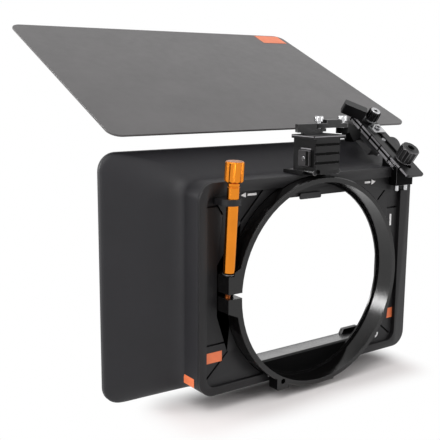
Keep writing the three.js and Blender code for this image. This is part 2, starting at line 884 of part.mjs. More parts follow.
function receiverBlock() {
  const half = receiverWidth / 2;
  const plan = polygon([
    [-half, -receiverRear],
    [half - receiverChamferSide, -receiverRear],
    [half, -receiverRear + receiverChamferDepth],
    [half, receiverFront],
    [-half, receiverFront],
  ]);
  const body = prismAlongZ(plan, receiverBottom + receiverUndercut, receiverTop);
  const base = block(
    [-receiverBaseWidth / 2, receiverBaseWidth / 2],
    [-receiverBaseRear, receiverBaseFront],
    [receiverBottom, receiverBaseTop],
  );
  const flange = block(
    [-receiverFlangeWidth / 2, receiverFlangeWidth / 2],
    [-receiverRear, receiverFront],
    [receiverTop - receiverFlangeThickness, receiverTop],
  );
  const ribPitch = (receiverTop - receiverBaseTop) / (receiverGrooves + 1);
  const grooves = Array.from({ length: receiverGrooves }, (_, row) => {
    const z = receiverBaseTop + (row + 1) * ribPitch;
    return block(
      [-receiverWidth, receiverWidth],
      [-receiverRear - overrun, -receiverRear + receiverGrooveDepth],
      [z - receiverGrooveHeight / 2, z + receiverGrooveHeight / 2],
    );
  });
  const well = latchSize / 2 + gap;
  const wellFloor = -receiverWidth / 2 - latchProud + latchDepth + latchTravel + gap;
  const screwZ = receiverBottom + receiverScrewRise;
  const screwHoles = [-1, 1].flatMap((side) => {
    const x = (side * receiverScrewSpread) / 2;
    return [
      rod(receiverScrewHead + gap, [x, -receiverRear - overrun, screwZ], [x, 0, screwZ]),
      rod(receiverScrewShank + gap, [x, -gap, screwZ], [x, receiverScrewShankLength + gap, screwZ]),
    ];
  });
  const sinks = [-1, 1].map((side) => {
    const x = side * baseScrewSide;
    const low = receiverBaseTop - baseScrewHead + baseScrewShank - gap;
    return rod(
      baseScrewShank,
      [x, baseScrewForward, low],
      [x, baseScrewForward, receiverBaseTop + gap],
      roundSteps,
      baseScrewHead + 2 * gap,
    );
  });
  return cut(
    join(body, base, flange),
    prismAlongZ(dovetailShape(gap, overrun), tongueBottom - dovetailRoom, receiverTop + overrun),
    ...grooves,
    block(
      [-receiverWidth, wellFloor],
      [latchForward - well, latchForward + well],
      [latchHeight - well, latchHeight + well],
    ),
    rod(
      latchCoilRadius + latchWireRadius + gap,
      [-receiverWidth / 2, latchForward, latchHeight],
      [-receiverWidth / 2 + latchBoreDepth, latchForward, latchHeight],
    ),
    ...screwHoles,
    ...sinks,
    ...baseScrewHoles(),
  );
}

function receiverScrew(side) {
  const x = (side * receiverScrewSpread) / 2;
  const z = receiverBottom + receiverScrewRise;
  return join(
    rod(receiverScrewHead, [x, -receiverScrewRear, z], [x, -gap, z]),
    rod(
      receiverScrewShank,
      [x, -receiverScrewRear / 2, z],
      [x, receiverScrewShankLength, z],
      roundSteps / 2,
    ),
  );
}

function baseScrew(side) {
  const x = side * baseScrewSide;
  const y = baseScrewForward;
  const neck = receiverBaseTop - baseScrewHead + baseScrewShank;
  return join(
    rod(baseScrewShank, [x, y, neck], [x, y, receiverBaseTop], roundSteps, baseScrewHead),
    rod(baseScrewShank, [x, y, receiverBaseTop - baseScrewLength], [x, y, receiverBaseTop - gap]),
  );
}

// Spring latch: a square button on a pin, with a coil behind it

function latchButton() {
  const outer = -receiverWidth / 2 - latchProud;
  const half = latchSize / 2;
  const shape = roundedRectangle(
    [latchForward - half, latchForward + half],
    [latchHeight - half, latchHeight + half],
    latchProud / 2,
  );
  return cut(
    prismAlongX(shape, outer, outer + latchDepth),
    rod(
      latchPinRadius + gap,
      [outer - overrun, latchForward, latchHeight],
      [outer + latchDepth + overrun, latchForward, latchHeight],
    ),
  );
}

function latchPin() {
  const outer = -receiverWidth / 2 - latchProud - latchPinProud;
  return rod(
    latchPinRadius,
    [outer, latchForward, latchHeight],
    [outer + latchPinLength, latchForward, latchHeight],
  );
}

class Helix extends THREE.Curve {
  constructor(radius, turns, x0, x1) {
    super();
    Object.assign(this, { radius, turns, x0, x1 });
  }

  getPoint(share, target = new THREE.Vector3()) {
    const angle = 2 * Math.PI * this.turns * share;
    return target.set(
      THREE.MathUtils.lerp(this.x0, this.x1, share),
      this.radius * Math.cos(angle),
      this.radius * Math.sin(angle),
    );
  }
}

function latchSpring() {
  const start = -receiverWidth / 2 - latchProud + latchDepth + latchWireRadius + gap;
  const end = -receiverWidth / 2 + latchBoreDepth - latchWireRadius - gap;
  const wire = new THREE.Shape().absarc(0, 0, latchWireRadius, 0, 2 * Math.PI);
  const geometry = new THREE.ExtrudeGeometry(wire, {
    steps: latchCoils * latchStepsPerCoil,
    curveSegments: cornerSteps,
    bevelEnabled: false,
    extrudePath: new Helix(latchCoilRadius, latchCoils, start, end),
  });
  geometry.translate(0, latchForward, latchHeight);
  return toSolid(geometry);
}

// Arm: foot in the receiver, link, and cranked bracket

function armFoot() {
  const rear = dovetailRear;
  const front = dovetailRear + dovetailDepth;
  const head = polygon([
    [-footHeadLeft, rear],
    [footHeadRight, rear],
    [footHeadRight + footHeadTaper, front],
    [-footHeadLeft + footHeadTaper, front],
  ]);
  const step = block(
    [footHeadEnd, footHeadRight + 2 * footHeadTaper],
    [rear - overrun, front + overrun],
    [knuckleTop, footHeadTop + overrun],
  );
  const knuckle = rod(
    linkHalfWidth,
    [pivotInnerX, pivotInnerY, footHeadBottom],
    [pivotInnerX, pivotInnerY, knuckleTop],
  );
  return cut(
    join(
      prismAlongZ(dovetailShape(0, gap), tongueBottom, footHeadBottom + gap),
      cut(prismAlongZ(head, footHeadBottom, footHeadTop), step),
      knuckle,
    ),
    rod(
      pivotRadius + gap,
      [pivotInnerX, pivotInnerY, footHeadBottom],
      [pivotInnerX, pivotInnerY, footHeadTop + overrun],
    ),
  );
}

function pivotScrew(x, y, bottom) {
  const head = rod(pivotHeadRadius, [x, y, pivotHeadBottom], [x, y, pivotHeadBottom + pivotHeadHeight], 6);
  const shank = rod(pivotRadius, [x, y, bottom], [x, y, pivotHeadBottom + gap], roundSteps / 2);
  const top = pivotHeadBottom + pivotHeadHeight;
  return cut(
    join(head, shank),
    rod(pivotSocketRadius, [x, y, top - pivotSocketDepth], [x, y, top + overrun], 6),
  );
}

function armLink() {
  const body = prismAlongZ(stadium([0, 0], [linkSpan, 0], linkHalfWidth), linkBottom, linkTop);
  const clearance = pivotHeadRadius + 2 * gap;
  const steps = [
    block([-linkSpan, clearance], [-linkSpan, linkSpan], [linkStepTop, linkTop + overrun]),
    block([linkSpan - clearance, 2 * linkSpan], [-linkSpan, linkSpan], [linkStepTop, linkTop + overrun]),
  ];
  const eye = stadium([linkSpan - linkEyePlay, 0], [linkSpan + linkEyePlay, 0], pivotRadius + gap);
  return cut(
    body,
    ...steps,
    rod(pivotRadius + gap, [0, 0, linkBottom - overrun], [0, 0, linkTop + overrun]),
    prismAlongZ(eye, linkBottom - overrun, linkTop + overrun),
  );
}

const toeTop = lowerPlateBottom - gap;

function railBracket() {
  const bossTop = knuckleTop;
  const bossBottom = bossTop - bossHeight;
  const crownStart = linkHalfWidth + linkEyePlay + 2 * gap;
  const crownTop = bossTop + bracketCrownRise;
  const outline = (shares, drops) => shares.map((share, i) => [bracketLength * share, bossTop - drops[i]]);
  const side = polygon([
    [0, bossBottom],
    [bossRadius + bracketWidth, bossBottom],
    ...outline(bracketBellyShares, bracketBellyDrops),
    ...outline(bracketTopShares, bracketTopDrops).reverse(),
    [crownStart + gap, crownTop],
    [crownStart, bossTop],
    [0, bossTop],
  ]);
  const arm = placed(
    prismAlongY(side, -bracketWidth / 2, bracketWidth / 2),
    bracketFrame,
  );
  const boss = rod(bossRadius, [pivotOuterX, pivotOuterY, bossBottom], [pivotOuterX, pivotOuterY, bossTop]);
  const underRail = [toeTop - bracketToeThickness, toeTop];
  const spine = [railLeft + gap * 2 - bracketSpineWidth, railLeft + gap * 2];
  const toe = placed(
    join(
      block(spine, [bracketToeStart, bracketSpineEnd], underRail),
      block(
        [spine[0], railSide + bracketToeReach],
        [bracketToeStart, bracketToeStart + bracketToeLength],
        underRail,
      ),
    ),
    railFrame,
  );
  const screwHole = placed(
    rod(
      knobScrewRadius + gap,
      [railSide, bracketToeStart + bracketToeLength / 2, toeTop - bracketToeThickness - overrun],
      [railSide, bracketToeStart + bracketToeLength / 2, toeTop + overrun],
    ),
    railFrame,
  );
  const pivotHole = rod(
    pivotRadius + gap,
    [pivotOuterX, pivotOuterY, bossBottom - overrun],
    [pivotOuterX, pivotOuterY, bossTop + overrun],
  );
  return cut(join(arm, boss, toe), screwHole, pivotHole);
}

// Rail pieces, in the rail's tilted frame

function slotCutter(low, high) {
  const radius = slotWidth / 2;
  const slot = stadium([railSide, -slotTail + radius], [railSide, slotReach - radius], radius);
  return prismAlongZ(slot, low - overrun, high + overrun);
}

function railUpperPlate() {
  const outline = roundedRectangle([railLeft, railRight], [-railTail, railReach], railCorner);
  return cut(prismAlongZ(outline, -railTop, railTop), slotCutter(-railTop, railTop));
}

function railLowerPlate() {
  const outline = roundedRectangle([railLeft, railRight], [-lowerPlateTail, railReach], railCorner);
  const padTop = -railTop - gap;
  const padAcross = [railLeft + spacerPadInset, railRight - spacerPadInset];
  const pads = [
    [-lowerPlateTail + spacerPadInset, -lowerPlateTail + spacerPadInset + spacerPadLength],
    [railReach - spacerPadInset - spacerPadLength, railReach - spacerPadInset],
  ].map((along) => block(padAcross, along, [lowerPlateTop - gap, padTop]));
  return cut(
    join(prismAlongZ(outline, lowerPlateBottom, lowerPlateTop), ...pads),
    slotCutter(lowerPlateBottom, padTop),
  );
}

function slotStop() {
  const half = slotStopWidth / 2;
  const outline = roundedRectangle(
    [railSide - half, railSide + half],
    [slotStopAlong - slotStopLength / 2, slotStopAlong + slotStopLength / 2],
    slotStopThickness / 2,
  );
  return cut(
    prismAlongZ(outline, knobSeat, knobSeat + slotStopThickness),
    rod(
      slotStopScrewShank + gap,
      [railSide, slotStopAlong, 0],
      [railSide, slotStopAlong, knobSeat + overrun],
    ),
  );
}

function slotStopScrew() {
  const seat = knobSeat + slotStopThickness + gap;
  return join(
    rod(
      slotStopScrewHead,
      [railSide, slotStopAlong, seat],
      [railSide, slotStopAlong, seat + slotStopScrewHeight],
    ),
    rod(
      slotStopScrewShank,
      [railSide, slotStopAlong, lowerPlateBottom + gap],
      [railSide, slotStopAlong, seat + gap],
      roundSteps / 2,
    ),
  );
}

function bracketScrew() {
  const along = bracketToeStart + bracketToeLength / 2;
  const seat = toeTop - bracketToeThickness - gap;
  return join(
    rod(pivotHeadRadius, [railSide, along, seat - pivotHeadRadius], [railSide, along, seat]),
    rod(knobScrewRadius, [railSide, along, seat - gap], [railSide, along, railTop - gap], roundSteps / 2),
  );
}

// Knobs: a washer, a fluted grip and a socket screw, around a local axis at the origin

function knobWasher(radius, bottom) {
  return cut(
    rod(radius, [0, 0, bottom], [0, 0, bottom + knobWasherThickness]),
    rod(knobScrewRadius + gap, [0, 0, bottom - overrun], [0, 0, bottom + overrun]),
  );
}

function railKnob(sizes) {
  const grip = flutedKnob({ ...sizes, chamfer: knobChamfer });
  const headSeat = sizes.z0 + sizes.height - knobScrewSocketDepth - 2 * gap;
  return cut(
    grip,
    rod(knobScrewRadius + gap, [0, 0, sizes.z0 - overrun], [0, 0, headSeat + gap]),
    rod(knobBoreRadius + gap, [0, 0, headSeat], [0, 0, headSeat + 2 * overrun]),
  );
}

function knobScrew(gripTop, bottom) {
  const headSeat = gripTop - knobScrewSocketDepth - gap;
  const head = rod(knobBoreRadius, [0, 0, headSeat], [0, 0, gripTop + gap]);
  const socket = rod(
    knobScrewSocketRadius,
    [0, 0, gripTop + gap - knobScrewSocketDepth],
    [0, 0, gripTop + overrun],
    6,
  );
  return join(
    cut(head, socket),
    rod(knobScrewRadius, [0, 0, bottom], [0, 0, headSeat + gap / 2], roundSteps / 2),
  );
}

const upperWasherBottom = knobSeat + swingPlateThickness + gap;
const upperGripBottom = upperWasherBottom + knobWasherThickness + gap;
const upperGripTop = upperGripBottom + upperKnobHeight;
const lowerGripBottom = knobSeat + knobWasherThickness + gap;
const lowerGripTop = lowerGripBottom + lowerKnobHeight;
const shoeBottom = toeTop - shoeThickness;

// Swing arm: an eye plate under the upper knob, with a tall bar beside it

function swingArm() {
  const half = swingBarWidth / 2;
  const barEnd = swingBarStart + swingBarLength;
  const plate = prismAlongZ(
    stadium([0, 0], [swingBarStart, 0], swingEyeRadius - gap),
    knobSeat,
    knobSeat + swingPlateThickness,
  );
  const outline = roundedRectangle([swingBarStart, barEnd], [-half, half], swingBarCorner);
  const bar = prismAlongZ(outline, knobSeat, knobSeat + swingBarHeight);
  const eye = rod(knobScrewRadius + gap, [0, 0, 0], [0, 0, knobSeat + overrun]);
  return cut(join(plate, bar), eye);
}

// Shoe under the rail, with the fork of the flag's hinge

function flagShoe() {
  const across = [railSide - shoeWidth / 2, railSide + shoeWidth / 2];
  const end = shoeStart + shoeLength;
  const plate = block(across, [shoeStart, end], [shoeBottom, toeTop]);
  const ear = roundedEar();
  const ears = [
    prismAlongX(ear, across[0], across[0] + forkEar),
    prismAlongX(ear, across[1] - forkEar, across[1]),
  ];
  const pinHole = rod(
    hingePinRadius + gap,
    [across[0] - overrun, hingeAlong, -hingeDrop],
    [across[1] + overrun, hingeAlong, -hingeDrop],
  );
  const screwHole = rod(
    knobScrewRadius + gap,
    [railSide, upperKnobAlong, shoeBottom - overrun],
    [railSide, upperKnobAlong, toeTop + overrun],
  );
  return cut(join(plate, ...ears), pinHole, screwHole);
}

function roundedEar() {
  const shape = new THREE.Shape();
  shape.absarc(hingeAlong, -hingeDrop, hingeRadius, Math.PI, 2 * Math.PI);
  shape.lineTo(hingeAlong + hingeRadius, toeTop - gap);
  shape.lineTo(hingeAlong - hingeRadius, toeTop - gap);
  shape.closePath();
  return shape;
}

function flagPin() {
  const half = shoeWidth / 2 + gap;
  return rod(
    hingePinRadius,
    [railSide - half, hingeInFlag.y, hingeInFlag.z],
    [railSide + half, hingeInFlag.y, hingeInFlag.z],
  );
}

function flagClip() {
  const top = -flagThickness / 2 - gap;
  const bottom = top - clipThickness;
  const plate = prismAlongZ(
    roundedRectangle(
      [railSide - clipWidth / 2, railSide + clipWidth / 2],
      [clipStart, clipStart + clipLength],
      clipCorner,
    ),
    bottom,
    top,
  );
  const half = shoeWidth / 2 - forkEar - gap;
  const { y, z } = hingeInFlag;
  const barrel = rod(barrelRadius, [railSide - half, y, z], [railSide + half, y, z]);
  const web = polygon([
    [y, z],
    [y + barrelRadius * clipWebRearShares[0], z + barrelRadius * clipWebRearShares[1]],
    [clipStart + clipLength / 2, bottom],
    [clipStart + clipLength / 2, (bottom + top) / 2],
    [clipStart, (bottom + top) / 2],
    [y + barrelRadius * clipWebFrontShares[0], z + barrelRadius * clipWebFrontShares[1]],
  ]);
  const bore = rod(
    hingePinRadius + gap,
    [railSide - half - overrun, y, z],
    [railSide + half + overrun, y, z],
  );
  return cut(join(plate, barrel, prismAlongX(web, railSide - half, railSide + half)), bore);
}

function flagSheet() {
  const outline = roundedRectangle([-flagWidth / 2, flagWidth / 2], [0, flagLength], flagCorner);
  return prismAlongZ(outline, -flagThickness / 2, flagThickness / 2);
}

// Wedge block that carries the rail's lower end, and its pins

function railPoint(along, off) {
  const point = new THREE.Vector3(0, along, off).applyMatrix4(railFrame);
  return [point.y, point.z];
}

// The distance along the rail at which a line parallel to it reaches the plane y = depth.
function alongAtDepth(depth, off) {
  return (depth + off * Math.sin(railTilt * degree)) / Math.cos(railTilt * degree);
}

function wedgeBlock() {
  const upperSeat = -railTop - gap;
  const stepAlong = -lowerPlateTail - gap;
  const side = polygon([
    [-wedgeRear, wedgeBottom],
    [wedgeStepFront, wedgeBottom],
    [wedgeStepFront, wedgeStepHeight],
    [wedgeFront, wedgeStepHeight],
    railPoint(alongAtDepth(wedgeFront, toeTop), toeTop),
    railPoint(stepAlong, toeTop),
    railPoint(stepAlong, upperSeat),
    railPoint(alongAtDepth(-wedgeRear, upperSeat), upperSeat),
  ]);
  const screwHole = placed(
    rod(
      knobScrewRadius + gap,
      [railSide, lowerKnobAlong, toeTop - lowerKnobScrewLength],
      [railSide, lowerKnobAlong, railTop],
    ),
    railFrame,
  );
  return cut(prismAlongX(side, railLeft, railRight), screwHole, ...wedgePinPlaces().map((x) => rod(
    wedgePinRadius + gap,
    [x, wedgePinForward, wedgeBottom - overrun],
    [x, wedgePinForward, wedgeBottom + wedgePinLength - wedgePinProud + gap],
  )));
}

function wedgePinPlaces() {
  return [-1, 1].map((side) => railSide + (side * wedgePinSpread) / 2);
}

function wedgePin(x) {
  const bottom = wedgeBottom - wedgePinProud;
  return rod(wedgePinRadius, [x, wedgePinForward, bottom], [x, wedgePinForward, bottom + wedgePinLength]);
}

// Finishes

function finish(color, roughness, metalness) {
  return new THREE.MeshStandardMaterial({ color, roughness, metalness });
}

const blackMoulding = finish(0x36343a, 0.62, 0);
const blackPlate = finish(0x3a3a40, 0.55, 0.2);
const blackAnodised = finish(0x242427, 0.42, 0.6);
const ringBlack = finish(0x4e4a48, 0.45, 0.5);
const orangeAnodised = finish(0xe6962e, 0.32, 0.7);
const brightSteel = finish(0xd2d4d6, 0.2, 1);
const satinSteel = finish(0xa8aaac, 0.35, 1);
const flagGrey = finish(0x46433f, 0.55, 0.1);

// Scene graph

function piece(name, solid, material) {
  const mesh = new THREE.Mesh(toGeometry(solid), material);
  mesh.name = name;
  return mesh;
}

function framed(matrix, ...meshes) {
  const group = new THREE.Group();
  group.applyMatrix4(matrix);
  group.add(...meshes);
  return group;
}

function turnedAt(x, y, z, angle, ...meshes) {
  const group = new THREE.Group();
  group.position.set(x, y, z);
  group.rotation.z = angle;
  group.add(...meshes);
  return group;
}

const matteBox = new THREE.Group();

matteBox.add(
  piece('hood_shell', hoodShell(), blackMoulding),
  piece('rear_frame', rearFrame(), blackPlate),
  piece('clamp_ring', clampRing(), ringBlack),
  ...ringScrewPlaces().map((place, i) => piece(`ring_screw_${i + 1}`, ringScrew(place), satinSteel)),
  piece('filter_guide_left', filterGuide(-1), blackMoulding),
  piece('filter_guide_right', filterGuide(1), blackMoulding),
  piece('tray_retainer', trayRetainer(), blackMoulding),
  piece('screw_saddle', screwSaddle(), blackPlate),
  piece('receiver_block', receiverBlock(), blackAnodised),
  piece('receiver_screw_left', receiverScrew(-1), blackAnodised),
  piece('receiver_screw_right', receiverScrew(1), blackAnodised),
  piece('base_screw_left', baseScrew(-1), satinSteel),
  piece('base_screw_right', baseScrew(1), satinSteel),
  piece('latch_button', latchButton(), blackAnodised),
  piece('latch_pin', latchPin(), brightSteel),
  piece('latch_spring', latchSpring(), satinSteel),
  piece('wedge_block', wedgeBlock(), blackAnodised),
  ...wedgePinPlaces().map((x, i) => piece(`wedge_pin_${i + 1}`, wedgePin(x), brightSteel)),
);

matteBox.add(framed(
  clampAxis,
  piece('thrust_washer', clampWasher(), satinSteel),
  piece('clamp_shaft', clampShaft(), orangeAnodised),
  piece('clamp_knob', clampKnob(), orangeAnodised),
));

matteBox.add(
  piece('arm_foot', armFoot(), blackAnodised),
  piece('pivot_screw_inner', pivotScrew(pivotInnerX, pivotInnerY, footHeadBottom + gap), brightSteel),
  turnedAt(pivotInnerX, pivotInnerY, 0, linkHeading, piece('arm_link', armLink(), blackAnodised)),
  piece(
    'pivot_screw_outer',
    pivotScrew(pivotOuterX, pivotOuterY, knuckleTop - bossHeight + gap),
    brightSteel,
  ),
  piece('rail_bracket', railBracket(), blackAnodised),
);

matteBox.add(framed(
  railFrame,
  piece('rail_upper_plate', railUpperPlate(), blackAnodised),
  piece('rail_lower_plate', railLowerPlate(), blackAnodised),
  piece('slot_stop', slotStop(), brightSteel),
  piece('slot_stop_screw', slotStopScrew(), satinSteel),
  piece('bracket_screw', bracketScrew(), satinSteel),
  piece('flag_shoe', flagShoe(), blackAnodised),
  turnedAt(railSide, upperKnobAlong, 0, swingAngle * degree, piece('swing_arm', swingArm(), blackAnodised)),
  turnedAt(
    railSide,
    upperKnobAlong,
    0,
    0,
    piece('upper_knob_washer', knobWasher(upperKnobRadius - gap, upperWasherBottom), satinSteel),
    piece('upper_knob', railKnob({
      radius: upperKnobRadius,
      depth: upperKnobFluteDepth,
      flutes: upperKnobFlutes,
      z0: upperGripBottom,
      height: upperKnobHeight,
    }), blackAnodised),
    piece('upper_knob_screw', knobScrew(upperGripTop, shoeBottom + gap), brightSteel),
  ),
  turnedAt(
    railSide,
    lowerKnobAlong,
    0,
    0,
    piece('lower_knob_washer', knobWasher(lowerKnobRadius - 2 * gap, knobSeat), blackAnodised),
    piece('lower_knob', railKnob({
      radius: lowerKnobRadius,
      depth: lowerKnobFluteDepth,
      flutes: lowerKnobFlutes,
      z0: lowerGripBottom,
      height: lowerKnobHeight,
    }), blackAnodised),
    piece('lower_knob_screw', knobScrew(lowerGripTop, toeTop - lowerKnobScrewLength + gap), blackAnodised),
  ),
));

matteBox.add(framed(
  flagFrame,
  piece('flag_sheet', flagSheet(), flagGrey),
  piece('flag_clip', flagClip(), blackAnodised),
  piece('flag_pin', flagPin(), brightSteel),
));

export default matteBox;
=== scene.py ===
import json
import math
import bmesh
import bpy
from mathutils import Matrix, Vector


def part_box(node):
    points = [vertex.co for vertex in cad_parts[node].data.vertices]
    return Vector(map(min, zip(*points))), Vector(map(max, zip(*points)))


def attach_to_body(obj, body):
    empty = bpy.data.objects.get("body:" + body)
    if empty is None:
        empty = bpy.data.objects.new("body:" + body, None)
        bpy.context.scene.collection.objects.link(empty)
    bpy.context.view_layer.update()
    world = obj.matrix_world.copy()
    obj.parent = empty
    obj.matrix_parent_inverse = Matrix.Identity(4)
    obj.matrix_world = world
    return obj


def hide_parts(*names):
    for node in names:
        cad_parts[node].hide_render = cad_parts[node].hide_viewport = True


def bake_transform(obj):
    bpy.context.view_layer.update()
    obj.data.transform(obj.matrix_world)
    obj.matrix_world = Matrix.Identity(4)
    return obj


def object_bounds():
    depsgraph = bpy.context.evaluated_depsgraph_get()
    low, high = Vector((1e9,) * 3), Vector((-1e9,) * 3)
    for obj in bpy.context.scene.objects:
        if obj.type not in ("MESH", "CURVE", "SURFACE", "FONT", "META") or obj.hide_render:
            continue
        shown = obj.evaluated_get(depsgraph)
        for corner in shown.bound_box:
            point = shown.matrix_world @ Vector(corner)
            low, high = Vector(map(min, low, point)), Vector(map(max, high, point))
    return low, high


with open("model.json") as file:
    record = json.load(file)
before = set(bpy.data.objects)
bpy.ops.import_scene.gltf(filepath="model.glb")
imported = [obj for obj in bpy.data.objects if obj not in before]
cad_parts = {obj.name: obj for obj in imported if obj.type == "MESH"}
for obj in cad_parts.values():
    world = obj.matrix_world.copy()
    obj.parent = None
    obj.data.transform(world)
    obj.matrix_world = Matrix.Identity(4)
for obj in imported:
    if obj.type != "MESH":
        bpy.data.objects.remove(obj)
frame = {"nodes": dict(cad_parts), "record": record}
cad_low, cad_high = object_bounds()

# Sizes and places are millimetres on the frame's axes, unless a comment says metres

MM = 0.001
record = frame["record"]
slot_of = {part["node"]: part["material_slot"] for part in record["subparts"]}
body_of = {node: body for body, nodes in record["behaviour"]["bodies"].items() for node in nodes}
scene = bpy.context.scene
replaced = set()


def box_mm(node):
    low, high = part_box(node)
    return low / MM, high / MM


# Camera, fitted to the straight edges of the photograph

CAMERA_PLACE = (-295.04 * MM, -318.89 * MM, 113.85 * MM)
CAMERA_YAW = math.radians(35.67)
CAMERA_PITCH = math.radians(-10.44)
CAMERA_ROLL = math.radians(-0.41)
CAMERA_LENS = 63.61
SENSOR = 36
CLIP_NEAR = 10 * MM
CLIP_FAR = 50000 * MM


def make_camera():
    data = bpy.data.cameras.new("camera")
    data.lens = CAMERA_LENS
    data.sensor_width = SENSOR
    data.clip_start = CLIP_NEAR
    data.clip_end = CLIP_FAR
    camera = bpy.data.objects.new("camera", data)
    turn = (
        Matrix.Rotation(-CAMERA_YAW, 4, "Z")
        @ Matrix.Rotation(CAMERA_PITCH, 4, "X")
        @ Matrix.Rotation(CAMERA_ROLL, 4, "Y")
        @ Matrix.Rotation(math.pi / 2, 4, "X")
    )
    camera.matrix_world = Matrix.Translation(CAMERA_PLACE) @ turn
    scene.collection.objects.link(camera)
    scene.camera = camera


# Nodes of the shaders


class Shader:
    """A material with its nodes, and short ways to add and link them."""

    def __init__(self, name):
        self.material = bpy.data.materials.new(name)
        self.material.use_nodes = True
        self.nodes = self.material.node_tree.nodes
        self.links = self.material.node_tree.links
        self.bsdf = self.nodes["Principled BSDF"]

    def add(self, kind, **settings):
        node = self.nodes.new(kind)
        for key, value in settings.items():
            if key.startswith("in_"):
                node.inputs[key[3:].replace("_", " ")].default_value = value
            else:
                setattr(node, key, value)
        return node

    def link(self, source, output, target, socket):
        self.links.new(source.outputs[output], target.inputs[socket])

    def set(self, **values):
        for key, value in values.items():
            self.bsdf.inputs[key.replace("_", " ")].default_value = value

    def noise(self, scale, detail=3, roughness=0.5, stretch=None):
        place = self.add("ShaderNodeTexCoord")
        noise = self.add("ShaderNodeTexNoise", in_Scale=scale, in_Detail=detail, in_Roughness=roughness)
        if stretch is None:
            self.link(place, "Object", noise, "Vector")
        else:
            mapping = self.add("ShaderNodeMapping")
            mapping.inputs["Scale"].default_value = stretch
            self.link(place, "Object", mapping, "Vector")
            self.link(mapping, "Vector", noise, "Vector")
        return noise

    def ramp(self, source, output, stops):
        ramp = self.add("ShaderNodeValToRGB")
        for element, (place, colour) in zip(ramp.color_ramp.elements, stops):
            element.position = place
            element.color = (*colour, 1)
        self.link(source, output, ramp, "Fac")
        return ramp

    def span(self, source, output, low, high):
        span = self.add("ShaderNodeMapRange")
        span.inputs["To Min"].default_value = low
        span.inputs["To Max"].default_value = high
        self.link(source, output, span, "Value")
        return span

    def bump(self, source, output, distance, strength=1.0, after=None):
        bump = self.add("ShaderNodeBump")
        bump.inputs["Distance"].default_value = distance
        bump.inputs["Strength"].default_value = strength
        self.link(source, output, bump, "Height")
        if after is not None:
            self.link(after, "Normal", bump, "Normal")
        self.link(bump, "Normal", self.bsdf, "Normal")
        return bump


# Materials: noise scales are per metre, and bump distances are metres

GRAIN = 2600
CLOUD = 35
TONE_PLACES = (0.3, 0.7)
MOULD_GLOSS = 0.06
METAL_GLOSS = 0.05
STEEL_WEAR = 0.07
COARSE_STRENGTH = 0.5
DARK_SHARE = 0.9
MOULD_BUMP = 0.00004
FINE_BUMP = 0.00002
SMOOTH_BUMP = 0.00001
TURNED_STRETCH = (1, 1, 8)


def mixed(low, high):
    return list(zip(TONE_PLACES, (low, high)))


def scaled(colour, factor):
    return tuple(channel * factor for channel in colour)


def moulded(name, colour, roughness, grain=MOULD_BUMP, spread=0.12, specular=0.4):
    """Matt moulded plastic: fine spark-eroded grain, and slow changes of tone and gloss."""
    shader = Shader(name)
    shader.set(Roughness=roughness, Specular_IOR_Level=specular)
    cloud = shader.noise(CLOUD, detail=4)
    tones = mixed(scaled(colour, 1 - spread), scaled(colour, 1 + spread))
    tone = shader.ramp(cloud, "Fac", tones)
    shader.link(tone, "Color", shader.bsdf, "Base Color")
    patches = shader.noise(CLOUD * 5, detail=5)
    gloss = shader.span(patches, "Fac", roughness - MOULD_GLOSS, roughness + MOULD_GLOSS)
    shader.link(gloss, "Result", shader.bsdf, "Roughness")
    fine = shader.bump(shader.noise(GRAIN, detail=2), "Fac", grain)
    shader.bump(shader.noise(GRAIN / 4, detail=2), "Fac", grain, COARSE_STRENGTH, fine)
    return shader.material


def anodised(name, colour, roughness, metallic=0.6, spread=0.15, specular=0.5, grain=FINE_BUMP):
    """Anodised aluminium: bead-blasted grain under a dyed layer."""
    shader = Shader(name)
    shader.set(Metallic=metallic, Roughness=roughness, Specular_IOR_Level=specular)
    cloud = shader.noise(CLOUD * 3, detail=4)
    tones = mixed(scaled(colour, 1 - spread), scaled(colour, 1 + spread))
    tone = shader.ramp(cloud, "Fac", tones)
    shader.link(tone, "Color", shader.bsdf, "Base Color")
    patches = shader.noise(CLOUD * 20, detail=4)
    gloss = shader.span(patches, "Fac", roughness - METAL_GLOSS, roughness + METAL_GLOSS)
    shader.link(gloss, "Result", shader.bsdf, "Roughness")
    shader.bump(shader.noise(GRAIN * 1.5, detail=2), "Fac", grain)
    return shader.material


def steel(name, colour, roughness):
    """Turned steel: fine lines across the turning axis, and slight changes of gloss."""
    shader = Shader(name)
    shader.set(Metallic=1.0, Roughness=roughness)
    cloud = shader.noise(CLOUD * 4, detail=4)
    tone = shader.ramp(cloud, "Fac", mixed(scaled(colour, DARK_SHARE), colour))
    shader.link(tone, "Color", shader.bsdf, "Base Color")
    patches = shader.noise(CLOUD * 30, detail=4)
    gloss = shader.span(patches, "Fac", roughness - METAL_GLOSS, roughness + STEEL_WEAR)
    shader.link(gloss, "Result", shader.bsdf, "Roughness")
    shader.bump(shader.noise(GRAIN, detail=2, stretch=TURNED_STRETCH), "Fac", FINE_BUMP)
    return shader.material


def printed(name, colour, roughness=0.4):
    """Printed vinyl or paint: faintly uneven, with a soft gloss."""
    shader = Shader(name)
    shader.set(Roughness=roughness)
    patches = shader.noise(CLOUD * 8, detail=3)
    tone = shader.ramp(patches, "Fac", mixed(scaled(colour, DARK_SHARE), colour))
    shader.link(tone, "Color", shader.bsdf, "Base Color")
    shader.bump(shader.noise(GRAIN / 3, detail=2), "Fac", FINE_BUMP)
    return shader.material


def plastics():
    return [
        moulded("hood_moulding", (0.010, 0.0095, 0.012), 0.5, specular=0.38),
        moulded("frame_moulding", (0.009, 0.0085, 0.0095), 0.45, specular=0.32),
        moulded("hood_inside", (0.012, 0.0115, 0.013), 0.24, specular=0.5, grain=SMOOTH_BUMP),
        moulded("flag_sheet", (0.062, 0.058, 0.059), 0.38, specular=0.6, grain=FINE_BUMP),
        moulded("deep_black", (0.002, 0.002, 0.002), 0.7, specular=0.1),
    ]


